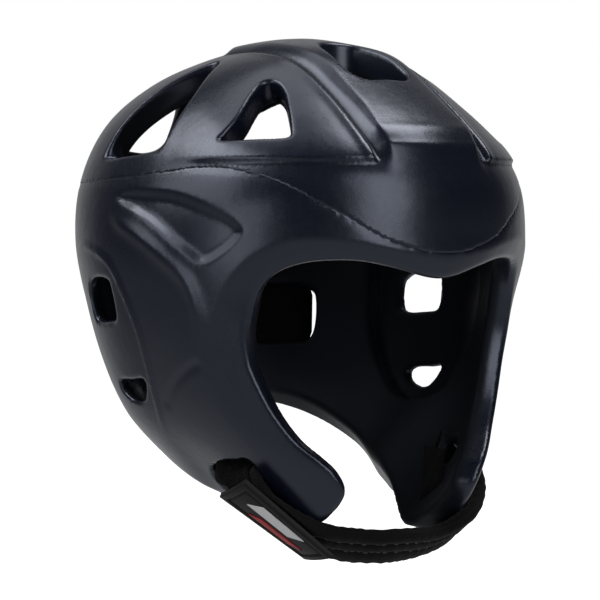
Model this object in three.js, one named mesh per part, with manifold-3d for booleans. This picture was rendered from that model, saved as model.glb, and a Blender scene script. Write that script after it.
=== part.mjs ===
// Open-face kickboxing head guard of dipped foam, with a padded chin strap.
// Millimetres, +Z up, the face towards -Y and the wearer's right towards -X.
// Origin: the inside top of the crown, where the head carries the guard.
// A place on the shell is an azimuth from the face, positive to the wearer's right, and a latitude,
// both in degrees about the head's centre. Cuts through the wall follow lines towards that centre, which
// lean low down so that the cut stays square to the skin.

import * as THREE from 'three';
import { mergeVertices } from 'three/addons/utils/BufferGeometryUtils.js';
import Module from 'manifold-3d';

const wasm = await Module();
wasm.setup();

// Driving dimensions.
const seatHeight = 82;
const pieceGap = 0.4;
const beyond = 400;
const cutOutside = 25;
const cutInside = 32;
const shellFloor = -76;
const faceReach = { from: 60, to: 260 };
const rimReach = { inside: 1.6, outside: -3, pole: -70 };
const outerGrid = { azimuths: 40, latitudes: 20 };
const innerGrid = { azimuths: 28, latitudes: 14 };
const coneSteps = 42;
const ventSteps = 24;
const holeSteps = 16;
const panelSteps = 14;
const bandRise = 2.6;
const bandHalfWidth = 29;
const bandRearCorner = 20;
const bandRearBow = 14;
const bandFloor = 50;
const grooveLine = 29.5;
const grooveWidth = 6;
const grooveDepth = 4;
const grooveSteps = 12;
const grooveSwing = { from: 104, to: 21 };
const grooveTip = 0.15;
const earRise = 3.5;
const earRoot = 6;
const earFade = { from: 98, to: 124, least: 0.05 };
const earWall = 5;
const pocketReach = 28;
const recessDepth = 3;
const ribHeight = 1.8;
const rearStrapHeight = 36;
const rearStrapLatitude = -20.5;
const rearStrapThickness = 2.2;
const rearStrapEnd = 142;
const rearStrapSteps = 18;
const tailThickness = 2;
const patchThickness = 2.6;

// Outer radius at the side, front and back, squareness of the rear quarter, and wall, by latitude.
const shellRows = [
  { lat: -75, side: 137, front: 200, back: 140, square: 2, wall: 16 },
  { lat: -60, side: 122.5, front: 178, back: 121, square: 2, wall: 16 },
  { lat: -45, side: 115.5, front: 156, back: 116, square: 2, wall: 15.5 },
  { lat: -30, side: 108, front: 134, back: 116, square: 2, wall: 15 },
  { lat: -15, side: 104, front: 121, back: 118.5, square: 2, wall: 15 },
  { lat: 0, side: 103.5, front: 119, back: 120.5, square: 2.1, wall: 15 },
  { lat: 15, side: 103, front: 120.5, back: 121, square: 2.2, wall: 15 },
  { lat: 30, side: 102, front: 110, back: 119, square: 2.2, wall: 15 },
  { lat: 45, side: 100, front: 103, back: 113, square: 2.05, wall: 14.5 },
  { lat: 60, side: 97.5, front: 100.5, back: 104, square: 2, wall: 14 },
  { lat: 75, side: 96, front: 96.5, back: 98.5, square: 2, wall: 14 },
  { lat: 90, side: 96, front: 96, back: 96, square: 2, wall: 14 },
];
const earBulge = { az: 115, lat: -48, wide: 32, tall: 26, rise: 3.4 };
const wallLean = { most: -4, from: -10, to: -45 };

// Where the crown meets the lower guard.
const partingRows = [
  { az: 0, lat: -2.3 },
  { az: 5.5, lat: -1.8 },
  { az: 15.5, lat: 1.1 },
  { az: 23.4, lat: 5.5 },
  { az: 30, lat: 9 },
  { az: 40.5, lat: 14.5 },
  { az: 51, lat: 17.9 },
  { az: 60.7, lat: 18.9 },
  { az: 74, lat: 18.1 },
  { az: 103, lat: 16.2 },
  { az: 129, lat: 14.4 },
  { az: 180, lat: 12 },
];

// Lower edge of the cheeks, jaw and nape, at the skin and at the inside of the wall.
const rimRows = [
  { az: 0, lat: -50, inner: -54 },
  { az: 20, lat: -50.5, inner: -54.5 },
  { az: 24, lat: -52.5, inner: -56.5 },
  { az: 27, lat: -55, inner: -59 },
  { az: 30, lat: -57.5, inner: -61.5 },
  { az: 34, lat: -62, inner: -66 },
  { az: 38, lat: -65, inner: -68.6 },
  { az: 45, lat: -67, inner: -69.3 },
  { az: 60, lat: -68.5, inner: -69.2 },
  { az: 78, lat: -68.8, inner: -67.6 },
  { az: 97, lat: -66, inner: -64.4 },
  { az: 121, lat: -57.5, inner: -59 },
  { az: 145, lat: -49.5, inner: -51.8 },
  { az: 162, lat: -46, inner: -49 },
  { az: 180, lat: -44, inner: -47.4 },
];

// Edge of the face opening, the crease of the flat band round it, and how far the band sinks at the edge.
const faceRows = [
  { az: 0, lat: -8.2, creaseAz: 0, creaseLat: -2.4, sink: 4 },
  { az: 12.3, lat: -5.6, creaseAz: 11.7, creaseLat: -1.3, sink: 4 },
  { az: 20.2, lat: -4.1, creaseAz: 19.8, creaseLat: 0.2, sink: 4 },
  { az: 27.9, lat: -4, creaseAz: 28.5, creaseLat: 1.2, sink: 4 },
  { az: 34.5, lat: -4.9, creaseAz: 37.5, creaseLat: 0.9, sink: 4 },
  { az: 40.3, lat: -7.3, creaseAz: 46, creaseLat: -2.5, sink: 4 },
  { az: 45, lat: -11.9, creaseAz: 53, creaseLat: -9.5, sink: 4 },
  { az: 47.7, lat: -17.5, creaseAz: 57.5, creaseLat: -17, sink: 3.5 },
  { az: 48.9, lat: -22.7, creaseAz: 60, creaseLat: -25, sink: 3 },
  { az: 48.2, lat: -28.5, creaseAz: 60.2, creaseLat: -33, sink: 3 },
  { az: 46, lat: -32.7, creaseAz: 58.5, creaseLat: -39, sink: 3 },
  { az: 41.9, lat: -37.8, creaseAz: 53, creaseLat: -44.5, sink: 3 },
  { az: 35.8, lat: -42.1, creaseAz: 43, creaseLat: -47, sink: 3 },
  { az: 29.8, lat: -44.1, creaseAz: 34, creaseLat: -47.5, sink: 3 },
  { az: 25.7, lat: -45.7, creaseAz: 29, creaseLat: -48.5, sink: 3 },
  { az: 22.6, lat: -48.6, creaseAz: 25.5, creaseLat: -50.5, sink: 3 },
  { az: 22.4, lat: -51, creaseAz: 24.6, creaseLat: -52.3, sink: 3 },
  { az: 22, lat: -55, creaseAz: 24, creaseLat: -56, sink: 3 },
  { az: 12, lat: -62, creaseAz: 12, creaseLat: -63, sink: 3 },
  { az: 0, lat: -64, creaseAz: 0, creaseLat: -65, sink: 3 },
];
const faceCentre = { az: 0, lat: -35 };

// Holes through the wall on the wearer's right, as [azimuth, latitude] round each outline.
const frontSideVent = [
  [57, 26.5], [47, 26], [38, 26.2], [36.9, 30], [37.6, 37], [40.4, 44.2], [45.6, 47.6], [49.8, 45.6],
  [52.6, 39], [57.2, 30],
];
const crownVents = [
  { skin: frontSideVent, inside: frontSideVent },
  {
    skin: [
      [108.6, 23.6], [94, 24], [79.6, 25.4], [77.4, 33], [77.2, 45], [84, 55], [92, 61], [100, 61.6],
      [105.4, 56], [107.8, 46], [108.9, 32],
    ],
    inside: [
      [120.5, 24.6], [100, 23.8], [79.6, 25.4], [77.4, 33], [77.2, 45], [84, 55], [92, 61], [101, 61.8],
      [109, 57], [116, 47], [121, 33],
    ],
  },
  {
    skin: [
      [175.5, 22.5], [165, 21.6], [154, 22.6], [145, 25.6], [144.6, 31], [144, 39.5], [141, 47],
      [146.5, 51.5], [156, 48.5], [165, 43], [172, 37], [175.4, 30],
    ],
    inside: [
      [165.5, 24.8], [157, 24.8], [150, 25.4], [145, 26.2], [145.2, 31], [144.4, 39.5], [141.4, 47],
      [145.5, 50.5], [152, 47], [159, 41.5], [164, 36], [165.8, 30],
    ],
  },
];
const guardHoles = [
  [
    [95.5, -17.5], [98.5, -12.4], [103.5, -9], [107, -8.4], [110, -11.5], [110, -18], [108, -21],
    [101, -21.6], [96.5, -20.8],
  ],
  [
    [100.4, -36.8], [93.6, -36.4], [87, -36.8], [86, -39.8], [89.4, -43.6], [94, -44.8], [99, -42.6],
    [101, -39.4],
  ],
  [
    [141, -16], [144, -13.6], [152, -13.4], [160, -13.6], [163, -16], [163, -27], [160, -29.6], [150, -29.6],
    [143.4, -29.4], [141, -27],
  ],
];
const strapSlot = [
  [75.8, -60], [66, -55.6], [55.7, -51.8], [49.6, -50.6], [47, -52.4], [48, -56], [58, -60.4], [68, -64],
  [75, -65], [77.4, -62.6],
];
const slotTight = { az: 0.97, lat: 0.9 };

// Top vent, in plan, as [x, y] on the wearer's right from front to back.
const topVent = [[0, -71.5], [10, -71], [15.5, -66], [16.5, -55], [14, -40], [9, -30], [0, -27]];

// Side recess, ear panel, the pocket behind it and the rib, on the wearer's right.
const sideRecess = [
  [94, 12], [88, 14], [78, 13.9], [68, 12.8], [57, 9.2], [50.4, 6], [48, 3.2], [49.6, 0.4], [54.5, -3.4],
  [59.5, -5.2], [66.6, -1.4], [75, 4], [83, 7.4], [91, 10],
];
const earPanel = [
  [116, -1], [105.4, -1.6], [94.5, -5.4], [88.2, -13.9], [84.2, -23.7], [83.8, -34.1], [86, -44], [94, -52],
  [106, -52], [117, -46], [125, -36], [129, -24], [127, -10],
];
const earPocket = [
  [122, -2], [124, -15], [122, -30], [115, -42], [104, -49], [90, -50], [80, -42], [76, -28], [78, -12],
  [86, 0], [104, 4],
];
const ribRows = [
  { az: 93, lat: 7.4, scale: 0.3 },
  { az: 83.4, lat: 3.2, scale: 0.8 },
  { az: 72.3, lat: -3.2, scale: 1 },
  { az: 64.5, lat: -9, scale: 1 },
  { az: 62, lat: -17, scale: 0.6 },
  { az: 61.6, lat: -26, scale: 0.2 },
];

// Chin strap from the slot on the wearer's right to the slot on the left: centre line, outward side, width,
// thickness, and how far its three rolls are puffed out.
const strapRows = [
  { at: [-47, -26, -85], out: [-0.75, -0.4, 0.53], width: 26, thick: 2.6, puff: 0 },
  { at: [-53.5, -29, -97], out: [-0.75, -0.4, 0.53], width: 26, thick: 2.6, puff: 0 },
  { at: [-60, -36, -107], out: [-0.85, -0.4, 0.2], width: 27, thick: 3, puff: 0 },
  { at: [-61.5, -42, -114], out: [-0.9, -0.2, -0.38], width: 29, thick: 4, puff: 0.4 },
  { at: [-54.5, -51.5, -125], out: [-0.74, -0.16, -0.65], width: 31, thick: 6, puff: 1 },
  { at: [-37.5, -64, -136.5], out: [-0.5, -0.26, -0.83], width: 31, thick: 8, puff: 1 },
  { at: [-18, -71, -140.5], out: [-0.2, -0.48, -0.85], width: 29, thick: 9, puff: 1 },
  { at: [0, -77, -141], out: [0, -0.55, -0.84], width: 28, thick: 9, puff: 1 },
  { at: [22, -77, -140], out: [0.2, -0.53, -0.82], width: 28, thick: 9, puff: 1 },
  { at: [43, -74, -137.5], out: [0.48, -0.45, -0.75], width: 28, thick: 8.5, puff: 1 },
  { at: [56.5, -62.5, -126], out: [0.75, -0.33, -0.57], width: 29, thick: 7, puff: 1 },
  { at: [62.5, -47, -114], out: [0.9, -0.25, -0.36], width: 29, thick: 4, puff: 0.4 },
  { at: [60.5, -35, -107], out: [0.85, -0.4, 0.2], width: 29, thick: 3, puff: 0 },
  { at: [53.5, -29, -97], out: [0.75, -0.4, 0.53], width: 29, thick: 2.6, puff: 0 },
  { at: [47, -26, -85], out: [0.75, -0.4, 0.53], width: 29, thick: 2.6, puff: 0 },
];
const strapSteps = 34;
const strapCuts = 12;
const tailSpan = { from: 0, to: 12, rear: -0.96, front: 0.5 };
const patchSpan = { from: 7, to: 13, rear: -1, front: 0.45 };

// Smooth reading of one column between the rows of a table.
function readRows(rows, key, column, at) {
  const last = rows.length - 1;
  const place = Math.min(Math.max(at, rows[0][key]), rows[last][key]);
  let i = 0;
  while (i < last - 1 && rows[i + 1][key] < place) i += 1;
  const slope = (k) => {
    const before = rows[Math.max(k - 1, 0)];
    const after = rows[Math.min(k + 1, last)];
    return (after[column] - before[column]) / (after[key] - before[key]);
  };
  const span = rows[i + 1][key] - rows[i][key];
  const t = (place - rows[i][key]) / span;
  const start = (1 + 2 * t) * (1 - t) ** 2 * rows[i][column] + t * (1 - t) ** 2 * span * slope(i);
  const end = t * t * (3 - 2 * t) * rows[i + 1][column] + t * t * (t - 1) * span * slope(i + 1);
  return start + end;
}

function direction(az, lat) {
  const a = THREE.MathUtils.degToRad(az);
  const l = THREE.MathUtils.degToRad(lat);
  return new THREE.Vector3(-Math.sin(a) * Math.cos(l), -Math.cos(a) * Math.cos(l), Math.sin(l));
}

function placeOf(point) {
  const az = THREE.MathUtils.radToDeg(Math.atan2(-point.x, -point.y));
  const lat = THREE.MathUtils.radToDeg(Math.asin(point.z / point.length()));
  return { az, lat };
}

function outerRadius(az, lat) {
  const a = THREE.MathUtils.degToRad(az);
  const facing = Math.cos(a) > 0;
  const end = readRows(shellRows, 'lat', facing ? 'front' : 'back', lat);
  const side = readRows(shellRows, 'lat', 'side', lat);
  const power = facing ? 2 : readRows(shellRows, 'lat', 'square', lat);
  const sum = Math.abs(Math.sin(a) / side) ** power + Math.abs(Math.cos(a) / end) ** power;
  const turned = Math.abs(Math.atan2(Math.sin(a), Math.cos(a)));
  const aside = (THREE.MathUtils.radToDeg(turned) - earBulge.az) / earBulge.wide;
  const above = (lat - earBulge.lat) / earBulge.tall;
  return sum ** (-1 / power) + earBulge.rise * Math.exp(-aside * aside - above * above);
}

function innerRadius(az, lat) {
  return outerRadius(az, lat) - readRows(shellRows, 'lat', 'wall', lat);
}

function onShell(az, lat, rise) {
  return direction(az, lat).multiplyScalar(outerRadius(az, lat) + rise);
}

// Point at a depth under the skin, along the line that a cut follows from this place on the skin.
function underShell(az, lat, depth) {
  const lean = wallLean.most * THREE.MathUtils.smoothstep(-lat, -wallLean.from, -wallLean.to);
  const skin = onShell(az, lat, 0);
  const inner = direction(az, lat + lean).multiplyScalar(innerRadius(az, lat + lean));
  return skin.lerp(inner, depth / readRows(shellRows, 'lat', 'wall', lat));
}

// Closed skin over a stack of rings with equal counts; a ring of one point is a pole.
function loft(rings) {
  const positions = rings.flat().flatMap((p) => [p.x, p.y, p.z]);
  const index = [];
  let first = 0;
  for (let r = 0; r < rings.length - 1; r += 1) {
    const here = rings[r].length;
    const next = rings[r + 1].length;
    const count = Math.max(here, next);
    for (let i = 0; i < count; i += 1) {
      const j = (i + 1) % count;
      const a = first + (here > 1 ? i : 0);
      const b = first + (here > 1 ? j : 0);
      const c = first + here + (next > 1 ? i : 0);
      const d = first + here + (next > 1 ? j : 0);
      if (here > 1) index.push(a, b, c);
      if (next > 1) index.push(b, d, c);
    }
    first += here;
  }
  const geometry = new THREE.BufferGeometry();
  geometry.setAttribute('position', new THREE.Float32BufferAttribute(positions, 3));
  geometry.setIndex(index);
  return geometry;
}

function signedVolume(points, index) {
  const corner = (k) => new THREE.Vector3().fromArray(points, 3 * index[k]);
  let sum = 0;
  for (let k = 0; k < index.length; k += 3) sum += corner(k).dot(corner(k + 1).cross(corner(k + 2)));
  return sum / 6;
}

// Closed geometry to a solid that can be joined and cut, with its faces turned outwards.
function solid(geometry) {
  const bare = geometry.clone();
  bare.deleteAttribute('normal');
  bare.deleteAttribute('uv');
  const merged = mergeVertices(bare, 1e-4);
  const vertProperties = new Float32Array(merged.attributes.position.array);
  const triVerts = new Uint32Array(merged.index.array);
  if (signedVolume(vertProperties, triVerts) < 0) triVerts.reverse();
  return new wasm.Manifold(new wasm.Mesh({ numProp: 3, vertProperties, triVerts }));
}

function geometryOf(body) {
  const mesh = body.getMesh();
  const geometry = new THREE.BufferGeometry();
  geometry.setAttribute('position', new THREE.BufferAttribute(new Float32Array(mesh.vertProperties), 3));
  geometry.setIndex(new THREE.BufferAttribute(new Uint32Array(mesh.triVerts), 1));
  return geometry;
}

function ringAt(count, make) {
  return Array.from({ length: count }, (_, i) => make(i));
}

// Closed skin with its two end rings drawn in to a point.
function capped(rings) {
  const sumOf = (ring) => ring.reduce((sum, q) => sum.add(q), new THREE.Vector3());
  const middle = (ring) => [sumOf(ring).divideScalar(ring.length)];
  return solid(loft([middle(rings[0]), ...rings, middle(rings[rings.length - 1])]));
}

// Whole star-shaped body round the head's centre, closed under the lower edge.
function starSolid(radius, grid, rise) {
  const rings = ringAt(grid.latitudes + 1, (r) => {
    const lat = THREE.MathUtils.lerp(90, shellFloor, r / grid.latitudes);
    const circle = (i) => {
      const az = (360 * i) / grid.azimuths;
      return direction(az, lat).multiplyScalar(radius(az, lat) + rise);
    };
    return r === 0 ? [circle(0)] : ringAt(grid.azimuths, circle);
  });
  return solid(loft([...rings, [new THREE.Vector3(0, 0, -radius(90, shellFloor))]]));
}

function latitudeAt(rows, column, az) {
  return readRows(rows, 'az', column, az > 180 ? 360 - az : az);
}

// Everything above the parting line, as a cone from the head's centre.
function abovePartingSolid(shift) {
  const edge = ringAt(coneSteps, (i) => {
    const az = (360 * i) / coneSteps;
    return direction(az, latitudeAt(partingRows, 'lat', az) + shift).multiplyScalar(beyond);
  });
  return solid(loft([[new THREE.Vector3()], edge, [new THREE.Vector3(0, 0, 2 * beyond)]]));
}

// Everything under the lower edge, less a margin.
function belowRimSolid(margin) {
  const azimuths = ringAt(2 * coneSteps, (i) => (180 * i) / coneSteps);
  const ringOf = (share) => azimuths.map((az) => {
    const innerLat = latitudeAt(rimRows, 'inner', az) - margin;
    const skin = onShell(az, latitudeAt(rimRows, 'lat', az) - margin, 0);
    return skin.lerp(direction(az, innerLat).multiplyScalar(innerRadius(az, innerLat)), share);
  });
  const pole = new THREE.Vector3(0, 0, rimReach.pole);
  const deep = new THREE.Vector3(0, 0, -beyond);
  return solid(loft([[pole], ringOf(rimReach.inside), ringOf(rimReach.outside), [deep]]));
}

function mirrored(places) {
  return places.map(([az, lat]) => [-az, lat]);
}

// Rounded closed outline through a few places on the shell.
function smoothOutline(places, count) {
  const points = places.map(([az, lat]) => new THREE.Vector3(az, lat, 0));
  const curve = new THREE.CatmullRomCurve3(points, true, 'centripetal');
  return curve.getPoints(count).slice(0, count).map((p) => ({ az: p.x, lat: p.y }));
}

function middleOf(outline) {
  const az = outline.reduce((sum, p) => sum + p.az, 0) / outline.length;
  const lat = outline.reduce((sum, p) => sum + p.lat, 0) / outline.length;
  return { az, lat };
}

// Body between levels of an outline shrunk towards its middle; a row with no share is a pole.
function moulding(outline, rows, weight) {
  const middle = middleOf(outline);
  return solid(loft(rows.map(({ share, rise }) => {
    const spot = (p) => {
      const az = middle.az + share * (p.az - middle.az);
      const lat = middle.lat + share * (p.lat - middle.lat);
      return onShell(az, lat, rise > 0 ? rise * weight(az) : rise);
    };
    return share > 0 ? outline.map(spot) : [spot(middle)];
  })));
}

// Hole through the wall, from an outline inside it to one at the skin.
function punch(inside, skin) {
  const levels = [
    { outline: inside, depth: cutInside }, { outline: inside, depth: shellRows[0].wall },
    { outline: skin, depth: 0 }, { outline: skin, depth: -cutOutside },
  ];
  const rings = levels.map(({ outline, depth }) => outline.map((p) => underShell(p.az, p.lat, depth)));
  const poleAt = ({ outline, depth }) => {
    const middle = middleOf(outline);
    return [underShell(middle.az, middle.lat, depth)];
  };
  return solid(loft([poleAt(levels[0]), ...rings, poleAt(levels[levels.length - 1])]));
}

// Face opening with the flat band sunk round it.
function faceSolid() {
  const edge = faceRows.concat(faceRows.slice(1, -1).reverse().map((p) => (
    { ...p, az: -p.az, creaseAz: -p.creaseAz }
  )));
  const start = direction(faceCentre.az, faceCentre.lat);
  return solid(loft([
    [start.clone().multiplyScalar(faceReach.from)],
    edge.map((p) => underShell(p.az, p.lat, cutInside)),
    edge.map((p) => underShell(p.az, p.lat, p.sink)),
    edge.map((p) => onShell(p.creaseAz, p.creaseLat, pieceGap)),
    edge.map((p) => onShell(p.creaseAz, p.creaseLat, cutOutside)),
    [start.clone().multiplyScalar(faceReach.to)],
  ]));
}

// Bar of a given section laid along a path on the shell.
function sweep(path, section) {
  const spots = path.map((p) => onShell(p.az, p.lat, 0));
  const rings = path.map((p, i) => {
    const ahead = spots[Math.min(i + 1, path.length - 1)];
    const along = ahead.clone().sub(spots[Math.max(i - 1, 0)]).normalize();
    const across = along.cross(spots[i].clone().normalize()).normalize();
    return section.map(({ side, rise }) => {
      const place = placeOf(spots[i].clone().addScaledVector(across, side * p.scale));
      return onShell(place.az, place.lat, rise * p.scale);
    });
  });
  return capped(rings);
}

// Place on the shell over a point in plan, for what runs straight along the crown.
function placeOver(x, swing) {
  let reach = 100;
  const a = THREE.MathUtils.degToRad(swing);
  let place = { az: 0, lat: 90 };
  for (let pass = 0; pass < 8; pass += 1) {
    place = placeOf(new THREE.Vector3(x, -reach * Math.cos(a), reach * Math.sin(a)));
    reach = Math.sqrt(outerRadius(place.az, place.lat) ** 2 - x * x);
  }
  return place;
}

// Raised band along the middle of the crown.
function bandSolidBody() {
  const plan = new THREE.Shape();
  plan.moveTo(-bandHalfWidth, -2 * seatHeight);
  plan.lineTo(bandHalfWidth, -2 * seatHeight);
  plan.lineTo(bandHalfWidth, bandRearCorner);
  plan.quadraticCurveTo(0, bandRearCorner + 2 * bandRearBow, -bandHalfWidth, bandRearCorner);
  plan.lineTo(-bandHalfWidth, -2 * seatHeight);
  const post = new THREE.ExtrudeGeometry(plan, { depth: beyond, bevelEnabled: false, curveSegments: 10 });
  post.translate(0, 0, bandFloor);
  return starSolid(outerRadius, outerGrid, bandRise).intersect(solid(post));
}

// Sickle groove beside the band, widest at its front end.
function grooveBody(side) {
  const path = ringAt(grooveSteps + 1, (i) => {
    const share = i / grooveSteps;
    const place = placeOver(side * grooveLine, THREE.MathUtils.lerp(grooveSwing.from, grooveSwing.to, share));
    return { ...place, scale: THREE.MathUtils.lerp(grooveTip, 1, Math.sin((share * Math.PI) / 2)) };
  });
  return sweep(path, [
    { side: -grooveWidth / 2, rise: 0 },
    { side: -grooveWidth / 2 - 1, rise: 3 * bandRise },
    { side: grooveWidth / 2 + 1, rise: 3 * bandRise },
    { side: grooveWidth / 2, rise: 0 },
    { side: grooveWidth / 6, rise: -grooveDepth },
    { side: -grooveWidth / 6, rise: -grooveDepth },
  ]);
}

function topVentBody() {
  const half = topVent.map(([x, y]) => new THREE.Vector3(x, y, 0));
  const other = half.slice(1, -1).reverse().map((p) => new THREE.Vector3(-p.x, p.y, 0));
  const curve = new THREE.CatmullRomCurve3(half.concat(other), true, 'centripetal');
  const plan = new THREE.Shape(curve.getPoints(ventSteps));
  const post = new THREE.ExtrudeGeometry(plan, { depth: beyond, bevelEnabled: false });
  post.translate(0, 0, bandFloor);
  return solid(post);
}

// Foam mouldings, cut from one shell.
const bothSides = (places, count) => [smoothOutline(places, count), smoothOutline(mirrored(places), count)];
const outerBody = starSolid(outerRadius, outerGrid, 0);
const innerBody = starSolid(innerRadius, innerGrid, 0);
const partingShift = THREE.MathUtils.radToDeg(pieceGap / 2 / shellRows[6].back);

function crownBody() {
  let body = outerBody.add(bandSolidBody()).subtract(innerBody);
  body = body.intersect(abovePartingSolid(partingShift));
  for (const { skin, inside } of crownVents) {
    const skins = bothSides(skin, holeSteps);
    const insides = bothSides(inside, holeSteps);
    for (const side of [0, 1]) body = body.subtract(punch(insides[side], skins[side]));
  }
  for (const side of [-1, 1]) body = body.subtract(grooveBody(side));
  return body.subtract(topVentBody());
}

function guardBody() {
  const { from, to, least } = earFade;
  const nearFront = (az) => THREE.MathUtils.clamp((to - Math.abs(az)) / (to - from), least, 1);
  const flat = () => 1;
  const panelLevels = [
    { share: 0, rise: -earRoot }, { share: 1, rise: -earRoot }, { share: 1, rise: -pieceGap },
    { share: 0.94, rise: earRise }, { share: 0.8, rise: 0.7 * earRise }, { share: 0.5, rise: 0.3 * earRise },
    { share: 0, rise: 0.2 * earRise },
  ];
  const pocketLevels = [
    { share: 0, rise: -pocketReach }, { share: 1, rise: -pocketReach }, { share: 1, rise: -pocketReach / 2 },
    { share: 0.88, rise: -earWall }, { share: 0.5, rise: -earWall }, { share: 0, rise: -earWall },
  ];
  const recessLevels = [
    { share: 0, rise: -recessDepth }, { share: 0.5, rise: -recessDepth }, { share: 0.86, rise: -recessDepth },
    { share: 1, rise: 0 }, { share: 1, rise: cutOutside }, { share: 0, rise: cutOutside },
  ];
  const ribSection = [
    { side: -5, rise: -3 }, { side: -1.5, rise: ribHeight }, { side: 1.5, rise: ribHeight },
    { side: 5, rise: -3 },
  ];
  let body = outerBody;
  for (const outline of bothSides(earPanel, panelSteps)) {
    body = body.add(moulding(outline, panelLevels, nearFront));
  }
  for (const turn of [1, -1]) {
    const path = ribRows.map((p) => ({ ...p, az: turn * p.az }));
    body = body.add(sweep(path, ribSection));
  }
  body = body.subtract(innerBody);
  body = body.subtract(abovePartingSolid(-partingShift)).subtract(belowRimSolid(0));
  body = body.subtract(faceSolid());
  for (const outline of bothSides(earPocket, holeSteps)) {
    body = body.subtract(moulding(outline, pocketLevels, flat));
  }
  for (const places of [...guardHoles, strapSlot]) {
    for (const outline of bothSides(places, holeSteps)) body = body.subtract(punch(outline, outline));
  }
  for (const outline of bothSides(sideRecess, panelSteps)) {
    body = body.subtract(moulding(outline, recessLevels, flat));
  }
  return body;
}

// Strap pieces, laid in one run of frames: side -1 is the rear edge and 1 the front edge.
const asVector = (values) => new THREE.Vector3(...values);
const strapLine = new THREE.CatmullRomCurve3(strapRows.map((r) => asVector(r.at)), false, 'catmullrom', 0.5);
const strapOut = new THREE.CatmullRomCurve3(strapRows.map((r) => asVector(r.out)), false, 'catmullrom', 0.5);
const strapSize = new THREE.CatmullRomCurve3(
  strapRows.map((r) => new THREE.Vector3(r.width, r.thick, r.puff)), false, 'catmullrom', 0.5,
);

function strapFrame(share) {
  const along = strapLine.getTangent(share);
  const across = new THREE.Vector3().crossVectors(strapOut.getPoint(share), along).normalize();
  const out = new THREE.Vector3().crossVectors(along, across).normalize();
  const size = strapSize.getPoint(share);
  const puff = Math.max(size.z, 0);
  return { at: strapLine.getPoint(share), across, out, width: size.x, thick: size.y, puff };
}

function strapPoint(frame, side, level) {
  const aside = (-side * frame.width) / 2;
  return frame.at.clone().addScaledVector(frame.across, aside).addScaledVector(frame.out, level);
}

function chinStrapBody() {
  const sides = ringAt(strapCuts + 1, (k) => -1 + (2 * k) / strapCuts);
  const backSides = sides.filter((_, k) => k % 2 === 0).reverse();
  const rings = ringAt(strapSteps + 1, (i) => {
    const frame = strapFrame(i / strapSteps);
    const level = (side) => {
      const roll = 0.5 + 0.5 * Math.abs(Math.cos(1.5 * Math.PI * side));
      return (frame.thick / 2) * (1 - frame.puff * (1 - roll));
    };
    const outer = sides.map((side) => strapPoint(frame, side, level(side)));
    const inner = backSides.map((side) => strapPoint(frame, side, -level(side)));
    return outer.concat(inner);
  });
  return capped(rings);
}

// Flat layer lying over the strap's outer face, between two of its steps.
function layerBody(span, lift, thickness) {
  const rings = ringAt(span.to - span.from + 1, (i) => {
    const frame = strapFrame((span.from + i) / strapSteps);
    const low = frame.thick / 2 + lift;
    const high = low + thickness;
    return [[span.rear, low], [span.front, low], [span.front, high], [span.rear, high]].map(
      ([side, level]) => strapPoint(frame, side, level),
    );
  });
  return capped(rings);
}

// Room that the wall takes from the strap: the shell's body, less a hole a little inside each slot.
function wallRoom() {
  let room = starSolid(outerRadius, outerGrid, pieceGap);
  room = room.subtract(starSolid(innerRadius, innerGrid, -pieceGap));
  for (const outline of bothSides(strapSlot, holeSteps)) {
    const middle = middleOf(outline);
    const smaller = outline.map((p) => ({
      az: middle.az + slotTight.az * (p.az - middle.az),
      lat: middle.lat + slotTight.lat * (p.lat - middle.lat),
    }));
    room = room.subtract(punch(smaller, smaller));
  }
  return room.subtract(belowRimSolid(pieceGap));
}

function rearStrapBody() {
  const path = ringAt(rearStrapSteps + 1, (i) => {
    const az = THREE.MathUtils.lerp(rearStrapEnd, 360 - rearStrapEnd, i / rearStrapSteps);
    const fromEnd = Math.min(i, rearStrapSteps - i);
    return { az, lat: rearStrapLatitude, scale: Math.min(1, 0.55 + 0.25 * fromEnd) };
  });
  const half = rearStrapHeight / 2;
  const low = pieceGap + 0.2;
  const high = low + rearStrapThickness;
  return sweep(path, [
    { side: -half, rise: low }, { side: 0, rise: low }, { side: half, rise: low },
    { side: half, rise: high }, { side: 0, rise: high }, { side: -half, rise: high },
  ]);
}

// Finishes.
const dippedSkin = { color: 0x1b1d28, roughness: 0.42, metalness: 0 };
const strapFabric = { color: 0x151517, roughness: 0.9, metalness: 0 };
const pileTape = { color: 0x19191b, roughness: 0.95, metalness: 0 };
const mouldedRubber = { color: 0x2b2c2f, roughness: 0.6, metalness: 0 };

const guard = new THREE.Group();
guard.position.z = -seatHeight;

function addPiece(name, body, finish) {
  const mesh = new THREE.Mesh(geometryOf(body), new THREE.MeshStandardMaterial(finish));
  mesh.name = name;
  guard.add(mesh);
}

const strapRoom = wallRoom();
addPiece('crown_shell', crownBody(), dippedSkin);
addPiece('lower_guard', guardBody(), dippedSkin);
addPiece('chin_strap', chinStrapBody().subtract(strapRoom), strapFabric);
addPiece('strap_tail', layerBody(tailSpan, pieceGap, tailThickness).subtract(strapRoom), pileTape);
addPiece('rubber_patch', layerBody(patchSpan, 2 * pieceGap + tailThickness, patchThickness), mouldedRubber);
addPiece('rear_strap', rearStrapBody(), strapFabric);

export default guard;
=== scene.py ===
import math

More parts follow.
